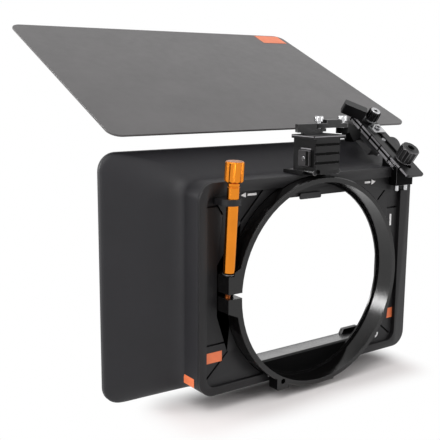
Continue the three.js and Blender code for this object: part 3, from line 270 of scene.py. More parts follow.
def black_metals():
    ring = (0.004, 0.0037, 0.0038)
    black = (0.005, 0.0048, 0.0053)
    shade = (0.0025, 0.0025, 0.0027)
    receiver = (0.0045, 0.0043, 0.0046)
    return [
        anodised("ring_anodised", ring, 0.17, metallic=0.0, specular=0.42),
        anodised("black_anodised", black, 0.33, metallic=0.0, specular=0.34),
        # painted shade: a black that hardly reflects, a shaded copy of the anodising for faces and pieces
        # that lie in shade
        anodised("painted_shade_black", shade, 0.5, metallic=0.0, specular=0.03),
        anodised("button_black", (0.05, 0.048, 0.05), 0.3, metallic=0.3),
        anodised("receiver_black", receiver, 0.4, metallic=0.0, specular=0.22),
    ]


def bright_metals():
    return [
        anodised("orange_anodised", (0.76, 0.24, 0.022), 0.15, metallic=1.0, spread=0.05),
        anodised("dark_orange", (0.30, 0.075, 0.012), 0.35, metallic=0.8),
        # painted highlight: a light grey for rounded edges, where light catches black parts
        anodised("painted_edge_highlight", (0.17, 0.165, 0.17), 0.3, metallic=0.7),
        # painted highlights: light greys for tops, sides and thin bars of black parts where light falls
        anodised("painted_highlight_bright", (0.6, 0.59, 0.61), 0.3, metallic=0.9),
        anodised("painted_highlight_grey", (0.23, 0.225, 0.235), 0.35, metallic=0.0),
        steel("bright_steel", (0.58, 0.58, 0.59), 0.18),
        steel("satin_steel", (0.3, 0.3, 0.31), 0.3),
    ]


def prints():
    return [
        printed("orange_print", (0.86, 0.2, 0.07)),
        printed("white_paint", (0.85, 0.85, 0.85), 0.5),
    ]


def make_materials():
    """Materials by their plain name, without the number that Blender adds to a name in use."""
    kinds = plastics() + black_metals() + bright_metals() + prints()
    return {material.name.split(".")[0]: material for material in kinds}


# Making of pieces

SHARP = math.radians(32)
EDGE_ANGLE = math.radians(28)
FLAT_ANGLE = math.radians(0.4)
WELD = 0.002
FACING = 0.9


def new_object(name, mesh):
    piece = bpy.data.objects.new(name, mesh)
    scene.collection.objects.link(piece)
    return piece


def add_edges(piece, edge, segments=2, worn=False):
    """Edges rounded by edge millimetres, with a painted highlight, a lighter finish, on the rounded edges
    when asked.
    """
    bevel = piece.modifiers.new("edges", "BEVEL")
    bevel.width = edge * MM
    bevel.segments = segments
    bevel.limit_method = "ANGLE"
    bevel.angle_limit = EDGE_ANGLE
    bevel.harden_normals = True
    bevel.use_clamp_overlap = True
    if worn:
        # the bevel takes the painted edge highlight
        bevel.material = 1


def merge_flat(work):
    bmesh.ops.dissolve_limit(work, angle_limit=FLAT_ANGLE, verts=work.verts, edges=work.edges)


def clean_copy(node, flat=True):
    mesh = bpy.data.meshes.new(node + "_shape")
    work = bmesh.new()
    work.from_mesh(frame["nodes"][node].data)
    bmesh.ops.remove_doubles(work, verts=work.verts, dist=WELD * MM)
    if flat:
        merge_flat(work)
    for face in work.faces:
        face.smooth = True
    work.to_mesh(mesh)
    work.free()
    mesh.set_sharp_from_angle(angle=SHARP)
    return mesh


def attach(piece, body, nodes=()):
    if nodes:
        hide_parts(*nodes)
        replaced.update(nodes)
    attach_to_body(piece, body)
    return piece


def dressed(node, edge=0.25, segments=2, worn=True, finish=None, slot=None):
    """A copy of a node's solid with its edges rounded by edge millimetres."""
    mesh = clean_copy(node)
    slot = slot or slot_of[node]
    mesh.materials.clear()
    mesh.materials.append(materials[finish or slot])
    # second slot: the painted edge highlight, used by the bevel when asked
    mesh.materials.append(materials["painted_edge_highlight"])
    piece = new_object(node + "_body", mesh)
    add_edges(piece, edge, segments, worn)
    return attach(piece, body_of[node], [node])


def from_work(name, work, finish, sharp=SHARP):
    mesh = bpy.data.meshes.new(name)
    bmesh.ops.recalc_face_normals(work, faces=work.faces)
    for face in work.faces:
        face.smooth = True
    work.to_mesh(mesh)
    work.free()
    mesh.set_sharp_from_angle(angle=sharp)
    mesh.materials.append(materials[finish])
    # second slot: the painted edge highlight, used by the bevel when asked
    mesh.materials.append(materials["painted_edge_highlight"])
    return new_object(name, mesh)


def loft(work, rings, closed=True, caps=False):
    """Skin through rings of points in millimetres, each ring a closed loop."""
    rows = [[work.verts.new(Vector(point) * MM) for point in ring] for ring in rings]
    pairs = list(zip(rows, rows[1:]))
    if closed:
        pairs.append((rows[-1], rows[0]))
    for low, high in pairs:
        count = len(low)
        for i in range(count):
            j = (i + 1) % count
            work.faces.new((low[i], low[j], high[j], high[i]))
    if caps:
        work.faces.new(rows[0])
        work.faces.new(rows[-1])
    return work


def lathe(profile, place, steps=48, ripple=None):
    """Profile of (radius, height) pairs turned round the z axis of place, a matrix in millimetres."""
    rings = []
    for radius, height in profile:
        ring = []
        for i in range(steps):
            angle = 2 * math.pi * i / steps
            extra = ripple(angle, radius, height) if ripple else 0
            r = radius + extra
            ring.append(place @ Vector((r * math.cos(angle), r * math.sin(angle), height)))
        rings.append(ring)
    return rings


def prism(work, outline, low, high, place=Matrix.Identity(4)):
    """Outline of (x, y) points raised from z = low to z = high in the frame of place."""
    rings = [[place @ Vector((x, y, z)) for x, y in outline] for z in (low, high)]
    return loft(work, rings, closed=False, caps=True)


def rectangle(left, bottom, right, top):
    return [(left, bottom), (right, bottom), (right, top), (left, top)]


def slab(work, low, high, place=Matrix.Identity(4)):
    return prism(work, rectangle(low[0], low[1], high[0], high[1]), low[2], high[2], place)


def thin_slab(name, low, high, finish, body):
    """A thin box on a dressed piece, which paints a highlight line or a field of shade."""
    work = bmesh.new()
    slab(work, low, high)
    return attach(from_work(name, work, finish), body)


def carved(piece, cutter):
    """The piece with the cutter taken out of it, and the cutter gone."""
    knife = piece.modifiers.new("cut", "BOOLEAN")
    knife.operation = "DIFFERENCE"
    knife.solver = "EXACT"
    knife.use_self = True
    knife.object = cutter
    bpy.context.view_layer.update()
    shape = bpy.data.meshes.new_from_object(piece.evaluated_get(bpy.context.evaluated_depsgraph_get()))
    piece.modifiers.clear()
    piece.data = shape
    bpy.data.objects.remove(cutter)
    for face in shape.polygons:
        face.use_smooth = True
    shape.set_sharp_from_angle(angle=SHARP)
    return piece


def paint_faces(piece, finish, test):
    """Another finish on the faces whose centre, in millimetres, and normal pass the test."""
    piece.data.materials.append(materials[finish])
    index = len(piece.data.materials) - 1
    for face in piece.data.polygons:
        if test(face.center / MM, face.normal):
            face.material_index = index
    return piece


def extents(node, place):
    """Low and high corner of a node's solid along the axes of place."""
    back = place.inverted()
    points = [back @ (vertex.co / MM) for vertex in frame["nodes"][node].data.vertices]
    low = Vector([min(point[i] for point in points) for i in range(3)])
    high = Vector([max(point[i] for point in points) for i in range(3)])
    return low, high


# Turned frames of the rear face, the stage's left side, the rail and the clamp screw

LAID_BACK = Matrix.Rotation(math.pi / 2, 4, "X")
LAID_AHEAD = Matrix.Rotation(-math.pi / 2, 4, "X")
RECESS_FLOOR = 2.5
STAGE_LEFT = -78.6
RAIL_TILT = math.radians(36)
RAIL_HEIGHT = 65.4
CLAMP_TILT = math.radians(4.2)
CLAMP_PLACE = (-63.2, -3.12, 0)
rear_face = Matrix.Translation((0, RECESS_FLOOR, 0)) @ LAID_BACK
side_turn = Matrix(((0, 0, -1, 0), (-1, 0, 0, 0), (0, 1, 0, 0), (0, 0, 0, 1)))
side_face = Matrix.Translation((STAGE_LEFT, 0, 0)) @ side_turn
rail_frame = Matrix.Translation((0, 0, RAIL_HEIGHT)) @ Matrix.Rotation(RAIL_TILT, 4, "X")
clamp_axis = Matrix.Translation(CLAMP_PLACE) @ Matrix.Rotation(CLAMP_TILT, 4, "X")

# Hood: one smooth skin from the stage to the lip, with the wall's thickness

CORNER_STEPS = 9
WALL = 2.2
MOUTH_FLOOR = 7
STAGE_CORNER = 9
MOUTH_CORNER = 10
MIDDLE_CORNER = 8
LEAST_CORNER = 1
FLARE_START = 13.5
FLARE_BENT = 21.5
SHOULDER_START = 38.2
SHOULDER_END = 40.4
SHOULDER_STEPS = 4
BEND_STEP = 0.8
BEND_STEPS = 11
PLAIN_ROW = 5
OUTER_ROWS = [25, 29, 33, 36]
INNER_ROWS = [SHOULDER_END, SHOULDER_START, 34, 28, FLARE_BENT, 19.5, 17.5, 15.5, FLARE_START, PLAIN_ROW]
REAR_EDGE = 0.25
LIP_ROUND = 0.9
LIP_STEPS = 3
LIP_EDGE = 0.5
STAGE_RISE = 3.8
INNER_SHIFT = 1.2
HOOD_SHARP = math.radians(50)
SEAT_GAP = 0.3
SEAT_ROWS = (-3, 5.5)
SEAT_SIDES = 96
WEDGE_REAR = -3
WEDGE_LOW = 55
WEDGE_HIGH = 66
INSIDE_TILT = 0.7


def between(low, high, share):
    return low + (high - low) * share


def flare_share(y):
    """How far the skin has gone from the stage's outline to the mouth's, from 0 to 1."""
    bend = FLARE_BENT - FLARE_START
    shoulder = SHOULDER_END - SHOULDER_START
    slope = 1 / (bend / 2 + SHOULDER_START - FLARE_BENT + shoulder / 2)
    if y <= FLARE_START:
        return 0
    if y <= FLARE_BENT:
        return slope * (y - FLARE_START) ** 2 / (2 * bend)
    if y <= SHOULDER_START:
        return slope * bend / 2 + slope * (y - FLARE_BENT)
    if y >= SHOULDER_END:
        return 1
    return 1 - slope * (SHOULDER_END - y) ** 2 / (2 * shoulder)


def rounded_ring(y, x, low, high, corner):
    right = x - corner
    left = -x + corner
    top = high - corner
    bottom = low + corner
    points = []
    for turn, (cx, cz) in enumerate([(right, top), (left, top), (left, bottom), (right, bottom)]):
        for step in range(CORNER_STEPS + 1):
            angle = (turn + step / CORNER_STEPS) * math.pi / 2
            points.append((cx + corner * math.cos(angle), y, cz + corner * math.sin(angle)))
    return points


def hood_ring(y, share, inset, floor=None):
    stage_low, stage_high = box_mm("rear_frame")
    mouth_low, mouth_high = box_mm("hood_shell")
    x = between(stage_high.x, mouth_high.x, share) - inset
    low = between(stage_low.z, mouth_low.z, share) + (inset if floor is None else floor)
    high = between(stage_high.z, mouth_high.z, share) - inset
    corner = between(STAGE_CORNER, MOUTH_CORNER, share) + MIDDLE_CORNER * 4 * share * (1 - share) - inset
    return rounded_ring(y, x, low, high, max(corner, LEAST_CORNER))


def outer_rings(rear, front):
    rows = [rear, PLAIN_ROW] + [FLARE_START + i * BEND_STEP for i in range(BEND_STEPS)]
    rows += OUTER_ROWS + [SHOULDER_START]
    shoulder = SHOULDER_END - SHOULDER_START
    rows += [SHOULDER_START + shoulder * i / SHOULDER_STEPS for i in range(1, SHOULDER_STEPS + 1)]
    rings = [hood_ring(rear, 0, REAR_EDGE)]
    for y in rows:
        edge = REAR_EDGE if y == rear else 0
        rings.append(hood_ring(y + edge, flare_share(y), 0))
    for i in range(LIP_STEPS + 1):
        angle = i * math.pi / (2 * LIP_STEPS)
        inset = LIP_ROUND * (1 - math.cos(angle))
        rings.append(hood_ring(front - LIP_ROUND * (1 - math.sin(angle)), 1, inset))
    return rings


def inner_rings(rear, front):
    rings = [
        hood_ring(front, 1, WALL - LIP_EDGE, MOUTH_FLOOR - LIP_EDGE),
        hood_ring(front - LIP_EDGE, 1, WALL, MOUTH_FLOOR),
    ]
    for y in INNER_ROWS:
        share = flare_share(y)
        rings.append(hood_ring(y + INNER_SHIFT, share, WALL, between(WALL, MOUTH_FLOOR, share)))
    rings.append(hood_ring(rear, 0, WALL))
    return rings


def cut_ring_seat(piece):
    radius = box_mm("clamp_ring")[1].x + SEAT_GAP
    profile = [(radius, row) for row in SEAT_ROWS]
    work = loft(bmesh.new(), lathe(profile, LAID_AHEAD, SEAT_SIDES), closed=False, caps=True)
    carved(piece, from_work("ring_seat", work, "hood_moulding"))


def cut_wedge_notch(piece):
    low, high = box_mm("wedge_block")
    start = (low.x - SEAT_GAP, WEDGE_REAR, WEDGE_LOW)
    end = (high.x + SEAT_GAP, high.y + SEAT_GAP, WEDGE_HIGH)
    work = bmesh.new()
    slab(work, start, end)
    carved(piece, from_work("wedge_notch", work, "hood_moulding"))


def faces_inward(centre, normal):
    inward = normal.x * centre.x + normal.z * (centre.z - STAGE_RISE) < 0
    return inward and abs(normal.y) < INSIDE_TILT


def hood():
    low, high = box_mm("hood_shell")
    work = loft(bmesh.new(), outer_rings(low.y, high.y) + inner_rings(low.y, high.y))
    piece = from_work("hood_skin", work, "hood_moulding", HOOD_SHARP)
    cut_ring_seat(piece)
    cut_wedge_notch(piece)
    paint_faces(piece, "hood_inside", faces_inward)
    return attach(piece, "stage", ["hood_shell"])


# The two catches on the lip

CATCH_LOW = (62.8, 81.7)
CATCH_HIGH = (65.5, 78.7)
CATCH_HEIGHT = 3.4
CATCH_DEPTH = 3.5
CATCH_SETBACK = 0.3
CATCH_ROOT = 1
CATCH_ROUND = 0.35


def catches():
    low, high = box_mm("hood_shell")
    root = low.z + MOUTH_FLOOR
    work = bmesh.new()
    for side in (-1, 1):
        outline = [
            (side * CATCH_LOW[0], root - CATCH_ROOT),
            (side * CATCH_LOW[1], root - CATCH_ROOT),
            (side * CATCH_HIGH[1], root + CATCH_HEIGHT),
            (side * CATCH_HIGH[0], root + CATCH_HEIGHT),
        ]
        prism(work, outline, -(high.y - CATCH_SETBACK), -(high.y - CATCH_DEPTH), LAID_BACK)
    piece = from_work("lip_catches", work, "black_anodised")
    # painted highlight on the rounded edges
    add_edges(piece, CATCH_ROUND, 2, True)
    return attach(piece, "stage", ["hood_shell"])


# Filter guides: upright combs that hold the trays' sides

GUIDE_RIB = 1
GUIDE_RIBS = 3
GUIDE_PITCH = 5.4
GUIDE_DEPTH = 2.6
GUIDE_WEB = 1.2
GUIDE_ROUND = 0.15


def guide(node, side):
    low, high = box_mm(node)
    wall = high.x if side > 0 else -low.x
    ribs = [(GUIDE_WEB, low.y, high.y)]
    for row in range(GUIDE_RIBS):
        y = low.y + row * GUIDE_PITCH
        ribs.append((GUIDE_DEPTH, y, y + GUIDE_RIB))
    work = bmesh.new()
    for depth, rear, front in ribs:
        left, right = sorted((side * (wall - depth), side * wall))
        slab(work, (left, rear, low.z), (right, front, high.z))
    piece = from_work(node + "_comb", work, "hood_moulding")
    add_edges(piece, GUIDE_ROUND, 1)
    return attach(piece, "stage", [node])


# Clamp screw on its leaning axis: a threaded end, and a smooth shaft with a neck under the knob

THREAD_RADIUS = 1.5
THREAD_DEPTH = 0.3
THREAD_PITCH = 0.8
THREAD_LOW = -6.5
THREAD_ROWS = 6
THREAD_SIDES = 24
THREAD_SHARP = math.radians(60)
SHAFT_LOW = 14.1
SHAFT_HIGH = 61.8
SHAFT_RADIUS = 3.25
SHAFT_SIDES = 64
SHAFT_SHARP = math.radians(25)
# Steps of radius and height from the shaft's two ends
SHAFT_NOSE = [(-0.9, 0), (-0.35, 0.1), (0, 0.5)]
SHAFT_NECK = [(0, -2.4), (-0.25, -2.2), (-0.25, -1.8), (0, -1.6), (0, -0.3), (-0.3, 0)]


def thread_ripple(angle, radius, height):
    phase = (height / THREAD_PITCH - angle / (2 * math.pi)) % 1
    return -THREAD_DEPTH * abs(2 * phase - 1)


def clamp_thread():
    length = SHAFT_LOW - THREAD_LOW
    rows = int(length / THREAD_PITCH * THREAD_ROWS)
    profile = [(THREAD_RADIUS, THREAD_LOW + length * i / rows) for i in range(rows + 1)]
    rings = lathe(profile, clamp_axis, THREAD_SIDES, thread_ripple)
    work = loft(bmesh.new(), rings, closed=False, caps=True)
    piece = from_work("clamp_thread", work, "dark_orange", THREAD_SHARP)
    return attach(piece, body_of["clamp_shaft"], ["clamp_shaft"])


def clamp_shaft():
    profile = [(SHAFT_RADIUS + change, SHAFT_LOW + height) for change, height in SHAFT_NOSE]
    profile += [(SHAFT_RADIUS + change, SHAFT_HIGH + height) for change, height in SHAFT_NECK]
    work = loft(bmesh.new(), lathe(profile, clamp_axis, SHAFT_SIDES), closed=False, caps=True)
    piece = from_work("clamp_rod", work, "orange_anodised", SHAFT_SHARP)
    return attach(piece, body_of["clamp_shaft"], ["clamp_shaft"])


# Bare plates and painted marks: outlines on the rear face, the stage's side and the flag

PRINT = 0.12
LABEL_LOW_LEFT = rectangle(-73.3, -36, -62.6, -30.2)
LABEL_LOW_RIGHT = [(65.2, -35), (72.6, -35), (72.6, -28.6), (66, -28.6)]
LABEL_SIDE = rectangle(-14.9, -48.8, -5.2, -43.9)
LABEL_FLAG = rectangle(84, 132.5, 106.5, 146)
ARROW_LEFT = [(-51.2, 52.7), (-47.8, 51.4), (-47.8, 54)]
ARROW_LEFT_BAR = rectangle(-46.6, 52.1, -40.6, 53.3)
ARROW_RIGHT = [(49.9, 52.8), (46.6, 51.2), (46.6, 54.4)]
ARROW_RIGHT_BAR = rectangle(41, 52.2, 45.4, 53.4)
INDEX_BAR = [(64, 24.6), (65.4, 24.6), (65.2, 31.7), (63.8, 31.7)]
HOOK_MIDDLE = (55.2, -43.2)
HOOK_RADII = (2.9, 1.7)
HOOK_START = -80
HOOK_SWEEP = 90
HOOK_STEPS = 6
FLAG_TILT = math.radians(24.6)
FLAG_HINGE = (0, 33.4, 83.7)
FLAG_TOP = 0.6
flag_frame = Matrix.Translation(FLAG_HINGE) @ Matrix.Rotation(FLAG_TILT, 4, "X")


def plate(name, outline, height, place, body, finish):
    work = prism(bmesh.new(), outline, height, height + PRINT, place)
    return attach(from_work(name, work, finish), body)


def frame_mark(name, outline, finish="white_paint"):
    return plate(name, outline, 0, rear_face, "stage", finish)


def hook_outline():
    angles = [math.radians(HOOK_START + HOOK_SWEEP * i / HOOK_STEPS) for i in range(HOOK_STEPS + 1)]
    x, z = HOOK_MIDDLE
    outer, inner = HOOK_RADII
    outside = [(x + outer * math.cos(angle), z + outer * math.sin(angle)) for angle in angles]
    inside = [(x + inner * math.cos(angle), z + inner * math.sin(angle)) for angle in angles]
    return outside + inside[::-1]


def marks():
    frame_mark("label_low_left", LABEL_LOW_LEFT, "orange_print")
    frame_mark("label_low_right", LABEL_LOW_RIGHT, "orange_print")
    plate("label_side", LABEL_SIDE, 0, side_face, "stage", "orange_print")
    frame_mark("arrow_left", ARROW_LEFT)
    frame_mark("arrow_left_bar", ARROW_LEFT_BAR)
    frame_mark("arrow_right", ARROW_RIGHT)
    frame_mark("arrow_right_bar", ARROW_RIGHT_BAR)
    frame_mark("index_bar", INDEX_BAR)
    frame_mark("hook_mark", hook_outline())
    flag = body_of["flag_sheet"]
    plate("flag_label", LABEL_FLAG, FLAG_TOP, flag_frame, flag, "orange_print")


# Rear frame: the folded panel's dark grooves run between shares of the stage's half width and height

GROOVE_HALF = 0.55
GROOVE_FLOOR = 4.1
GROOVE_OVERRUN = 1
STAGE_HALF = (78.6, 57.25)
GROOVE_SHARES = [
    ((-0.92, -0.52), (-0.77, -0.52)), ((-0.93, -0.85), (-0.75, -0.62)), ((-0.94, 0.78), (-0.85, 0.78)),
    ((-0.85, 0.8), (-0.8, 0.7)), ((-0.65, 0.61), (-0.46, 0.89)), ((0.78, 0.56), (0.88, 0.56)),
    ((0.67, 0.66), (0.74, 0.75)), ((0.77, -0.75), (0.86, -0.85)),
]
FRAME_ROUND = 0.5
SILL_LOW = -46
SILL_HIGH = -43


def groove_knife():
    cutter = bmesh.new()
    for ends in GROOVE_SHARES:
        start, end = [Vector((x * STAGE_HALF[0], STAGE_RISE + z * STAGE_HALF[1])) for x, z in ends]
        along = (end - start).normalized()
        across = Vector((-along.y, along.x)) * GROOVE_HALF
        outline = [start - across, end - across, end + across, start + across]
        prism(cutter, outline, -GROOVE_FLOOR, GROOVE_OVERRUN, LAID_BACK)
    return from_work("groove_knife", cutter, "deep_black")


def on_sill(centre, normal):
    return normal.z > FACING and SILL_LOW < centre.z < SILL_HIGH


def rear_frame():
    mesh = clean_copy("rear_frame", flat=False)
    mesh.materials.clear()
    mesh.materials.append(materials["frame_moulding"])
    piece = new_object("rear_frame_body", mesh)
    carved(piece, groove_knife())
    work = bmesh.new()
    work.from_mesh(piece.data)
    merge_flat(work)
    work.to_mesh(piece.data)
    work.free()
    # painted shade: the sill's top faces below the aperture in the shaded black
    paint_faces(piece, "painted_shade_black", on_sill)
    add_edges(piece, FRAME_ROUND)
    return attach(piece, "stage", ["rear_frame"])


# Painted shade: a thin dark sheet in the gap between the ring and the frame's plate

SHEET_TOP = -44.7
SHEET_REAR = 5.2
SHEET_THICK = 0.3
SHEET_INSET = 1.6
SHEET_STEPS = 24


def painted_shade_sheet():
    """Thin dark sheet between the ring and the frame's plate: painted shade which closes the gap under the
    stage.
    """
    radius = box_mm("clamp_ring")[1].x - SHEET_INSET
    reach = math.acos(-SHEET_TOP / radius)
    angles = [-reach + 2 * reach * i / SHEET_STEPS for i in range(SHEET_STEPS + 1)]
    outline = [(radius * math.sin(angle), -radius * math.cos(angle)) for angle in angles]
    work = prism(bmesh.new(), outline, -SHEET_REAR - SHEET_THICK, -SHEET_REAR, LAID_BACK)
    return attach(from_work("painted_shade_sheet", work, "painted_shade_black"), "stage")


# Cap screws, drawn round the axis of the node that they stand for

HEAD_CHAMFER = 0.15
SOCKET_RIM = 0.25
SOCKET_CHAMFER = 0.2
SOCKET_MIDDLE = 0.02
SOCKET_MARGIN = 1.02
SOCKET_FLOOR = 0.1
DOME_STEPS = 4
SOCKET_SHADE_SLOT = 2


def hexed(angle, radius, height):
    """What turns a circle of radius into a hexagon with its corners on it."""
    return radius * math.cos(math.pi / 6) / math.cos(angle % (math.pi / 3) - math.pi / 6) - radius


def dome_point(head, top, dome, step):
    angle = math.pi * step / (2 * DOME_STEPS)
    return (head - dome * (1 - math.cos(angle)), top - dome * (1 - math.sin(angle)))


def cap_screw(node, place, finish, head, thick, socket, depth, shank, dome):
    low, high = extents(node, place)
    axis = place @ Matrix.Translation(((low.x + high.x) / 2, (low.y + high.y) / 2, 0))
    top = high.z
    seat = top - thick
    outer = [(shank, low.z), (shank, seat), (head - HEAD_CHAMFER, seat), (head, seat + HEAD_CHAMFER)]
    outer += [dome_point(head, top, dome, step) for step in range(DOME_STEPS + 1)]
    outer.append((socket + SOCKET_RIM, top))
    inner = [(socket, top - SOCKET_CHAMFER), (socket, top - depth), (SOCKET_MIDDLE, top - depth)]
    rings = lathe(outer, axis) + lathe(inner, axis, ripple=hexed)
    piece = from_work(node + "_cap", loft(bmesh.new(), rings, closed=False, caps=True), finish)
    # painted shade: the inside of the hex socket in near-black
    piece.data.materials.append(materials["deep_black"])
    back = axis.inverted()
    for face in piece.data.polygons:
        point = back @ (face.center / MM)
        if math.hypot(point.x, point.y) < socket * SOCKET_MARGIN and point.z > top - depth - SOCKET_FLOOR:
            face.material_index = SOCKET_SHADE_SLOT
    return attach(piece, body_of[node], [node])


def cap_screws():
    upright = Matrix.Identity(4)
    pivot = {"head": 2.7, "thick": 3.2, "socket": 1.5, "depth": 1.6, "shank": 1.5, "dome": 1.1}
    upper = {"head": 3.1, "thick": 0.5, "socket": 1.3, "depth": 0.9, "shank": 1.5, "dome": 0.25}
    lower = {"head": 2.9, "thick": 0.6, "socket": 2.1, "depth": 1.5, "shank": 1.5, "dome": 0.25}
    stop = {"head": 1.9, "thick": 1.1, "socket": 1.0, "depth": 0.8, "shank": 1.3, "dome": 0.4}
    cap_screw("pivot_screw_inner", upright, "bright_steel", **pivot)
    cap_screw("pivot_screw_outer", upright, "bright_steel", **pivot)
    cap_screw("upper_knob_screw", rail_frame, "bright_steel", **upper)
    cap_screw("lower_knob_screw", rail_frame, "black_anodised", **lower)
    cap_screw("slot_stop_screw", rail_frame, "satin_steel", **stop)


# Clamp ring: painted shade on its lip and its rod lug's left side, and a painted highlight on its rounded
# edges

RING_ROUND = 0.35
RING_LIP = 3
LUG_LEFT = -36
LUG_TOP = -50


def on_lip(centre, normal):
    return normal.y < -FACING and centre.y > RING_LIP


def on_lug_side(centre, normal):
    return normal.x < -FACING and centre.x > LUG_LEFT and centre.z < LUG_TOP


def clamp_ring():
    piece = dressed("clamp_ring", edge=RING_ROUND)
    # painted shade on the faces that lie in shade
    paint_faces(piece, "painted_shade_black", on_lip)
    return paint_faces(piece, "painted_shade_black", on_lug_side)


# Receiver with a painted highlight line round its flange and on its rounded edges, and painted shade in the
# grooves of its ribbed rear

RECEIVER_ROUND = 0.35
LINE_PROUD = 0.04
LINE_LOW = 0.8
LINE_HIGH = 0.25
LINE_END = 0.4
FLANGE_DEPTH = 0.6
RIB_START = 0.25
RIB_END = 1.2
RIB_HALF = 9.5
RIB_MARGIN = 2.5


def receiver_highlight_line():
    high = box_mm("receiver_block")[1].z
    points = [vertex.co / MM for vertex in frame["nodes"]["receiver_block"].data.vertices]
    flange = [point for point in points if point.z > high - FLANGE_DEPTH]
    left = min(point.x for point in flange)
    right = max(point.x for point in flange)
    rear = min(point.y for point in flange)
    front = max(point.y for point in flange)
    top = high - LINE_HIGH
    bottom = high - LINE_LOW
    work = bmesh.new()
    # painted highlight: thin light bars along the flange's rear and left edges
    slab(work, (left + LINE_END, rear - LINE_PROUD, bottom), (right - LINE_END, rear + LINE_PROUD, top))
    slab(work, (left - LINE_PROUD, rear + LINE_END, bottom), (left + LINE_PROUD, front - LINE_END, top))
    attach(from_work("receiver_highlight_line", work, "painted_highlight_grey"), "stage")


def between_ribs(centre, low, high):
    behind = low.y + RIB_START < centre.y < low.y + RIB_END
    return behind and abs(centre.x) < RIB_HALF and low.z + RIB_MARGIN < centre.z < high.z - RIB_MARGIN


def receiver():
    piece = dressed("receiver_block", edge=RECEIVER_ROUND, finish="receiver_black")
    # painted highlight on the rounded edges
    piece.data.materials[1] = materials["painted_highlight_grey"]
    receiver_highlight_line()
    low, high = box_mm("receiver_block")
    # painted shade on the faces between the ribs
    return paint_faces(piece, "deep_black", lambda centre, normal: between_ribs(centre, low, high))


# Latch button in the receiver's left wall: painted shade round it and over part of its face, and painted
# highlights on its top and in a bar over it

LATCH_ROUND = 0.35
WALL_OUTSIDE = -10.06
WALL_INSIDE = -9.98
WELL_REACH = 2.4
WELL_EDGE = 0.4
SHADE_STRIP_PROUD = 0.05
SHADE_STRIP_DEPTH = 0.1
SHADE_STRIP_START = 0.3
SHADE_STRIP_REACH = 2.6
SHADE_STRIP_END = 0.4
HIGHLIGHT_BAR_OUTSIDE = -10.2
HIGHLIGHT_BAR_LOW = 0.5
HIGHLIGHT_BAR_HIGH = 1.2
HIGHLIGHT_BAR_SHORT = 0.6
TOP_FACING = 0.6


def latch():
    piece = dressed("latch_button", edge=LATCH_ROUND, finish="button_black")
    # painted highlight on the button's top faces
    paint_faces(piece, "painted_highlight_bright", lambda centre, normal: normal.z > TOP_FACING)
    low, high = box_mm("latch_button")
    # painted shade: a dark field on the wall round the button
    well_shade_low = (WALL_OUTSIDE, low.y - WELL_REACH, low.z - WELL_EDGE)
    well_shade_high = (WALL_INSIDE, high.y + WELL_EDGE, high.z + WELL_EDGE)
    thin_slab("latch_well_shade", well_shade_low, well_shade_high, "deep_black", "stage")
    # painted shade: a dark strip over part of the button's face
    shade_strip_low = (low.x - SHADE_STRIP_PROUD, low.y + SHADE_STRIP_START, low.z + SHADE_STRIP_END)
    shade_strip_high = (low.x + SHADE_STRIP_DEPTH, low.y + SHADE_STRIP_REACH, high.z - SHADE_STRIP_END)
    thin_slab("latch_shade_strip", shade_strip_low, shade_strip_high, "deep_black", "latch")
    # painted highlight: a light bar over the button
    highlight_bar_low = (HIGHLIGHT_BAR_OUTSIDE, low.y, high.z + HIGHLIGHT_BAR_LOW)
    highlight_bar_high = (WALL_INSIDE, high.y - HIGHLIGHT_BAR_SHORT, high.z + HIGHLIGHT_BAR_HIGH)
    thin_slab("latch_highlight_bar", highlight_bar_low, highlight_bar_high, "painted_highlight_grey", "stage")
    return piece


def latch_spring():
    """The spring that the button presses shorter: one end stays in the receiver."""
    mesh = clean_copy("latch_spring")
    mesh.materials.clear()
    mesh.materials.append(materials["satin_steel"])
    piece = new_object("latch_spring_coil", mesh)
    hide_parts("latch_spring")
    replaced.add("latch_spring")
    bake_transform(piece)
    return piece


# Rail plates with a painted highlight on their left sides and painted shade for notches along them, and the
# cranked bracket in painted shade except its foot

PLATE_ROUND = 0.3
SIDE_BAND = 3
NOTCH_PLACES = (-8, 2, 12, 22, 32, 42)
NOTCH_WIDTH = 1.1
NOTCH_MARGIN = 2
NOTCH_REACH = 0.75
NOTCH_PROUD = 0.04
NOTCH_BELOW = 0.02
NOTCH_ABOVE = 0.03
BRACKET_ROUND = 0.4
BRACKET_FOOT = 50


# painted shade: thin near-black boxes stand for the notches along the plate's left side
def rail_notch_shades(node, low, high):
    work = bmesh.new()
    for along in NOTCH_PLACES:
        if low.y + NOTCH_MARGIN < along < high.y - NOTCH_MARGIN:
            start = (low.x - NOTCH_PROUD, along, low.z + NOTCH_BELOW)
            end = (low.x + NOTCH_REACH, along + NOTCH_WIDTH, high.z + NOTCH_ABOVE)
            slab(work, start, end, rail_frame)
    attach(from_work(node + "_notch_shades", work, "deep_black"), body_of[node])


def rail_plate(node):
    piece = dressed(node, edge=PLATE_ROUND, segments=1, worn=False)
    low, high = extents(node, rail_frame)
    edge = low.x + SIDE_BAND
    # painted highlight: the left side faces, where light falls, in a light grey
    paint_faces(piece, "painted_highlight_grey", lambda centre, normal: normal.x < -FACING and centre.x < edge)
    rail_notch_shades(node, low, high)
    return piece


def rail_bracket():
    # painted shade over the bracket, except its foot
    piece = dressed("rail_bracket", edge=BRACKET_ROUND, worn=False, finish="painted_shade_black")
    return paint_faces(piece, "frame_moulding", lambda centre, normal: centre.x > BRACKET_FOOT)


# Floor: plain paper under the object, which fades to white outside its footprint. Sizes in metres

FLOOR_SIZE = 8
FLOOR_COLOUR = (0.88, 0.845, 0.84)
FLOOR_ROUGHNESS = 0.9
FLOOR_SPECULAR = 0.1
FLOOR_DROP = 0.02 * MM
FADE_START = 0.002
FADE_END = 0.026
FOOT_HALF = (0.071, 0.011, 0)
FOOT_MIDDLE = (-0.011, 0.001, 0)


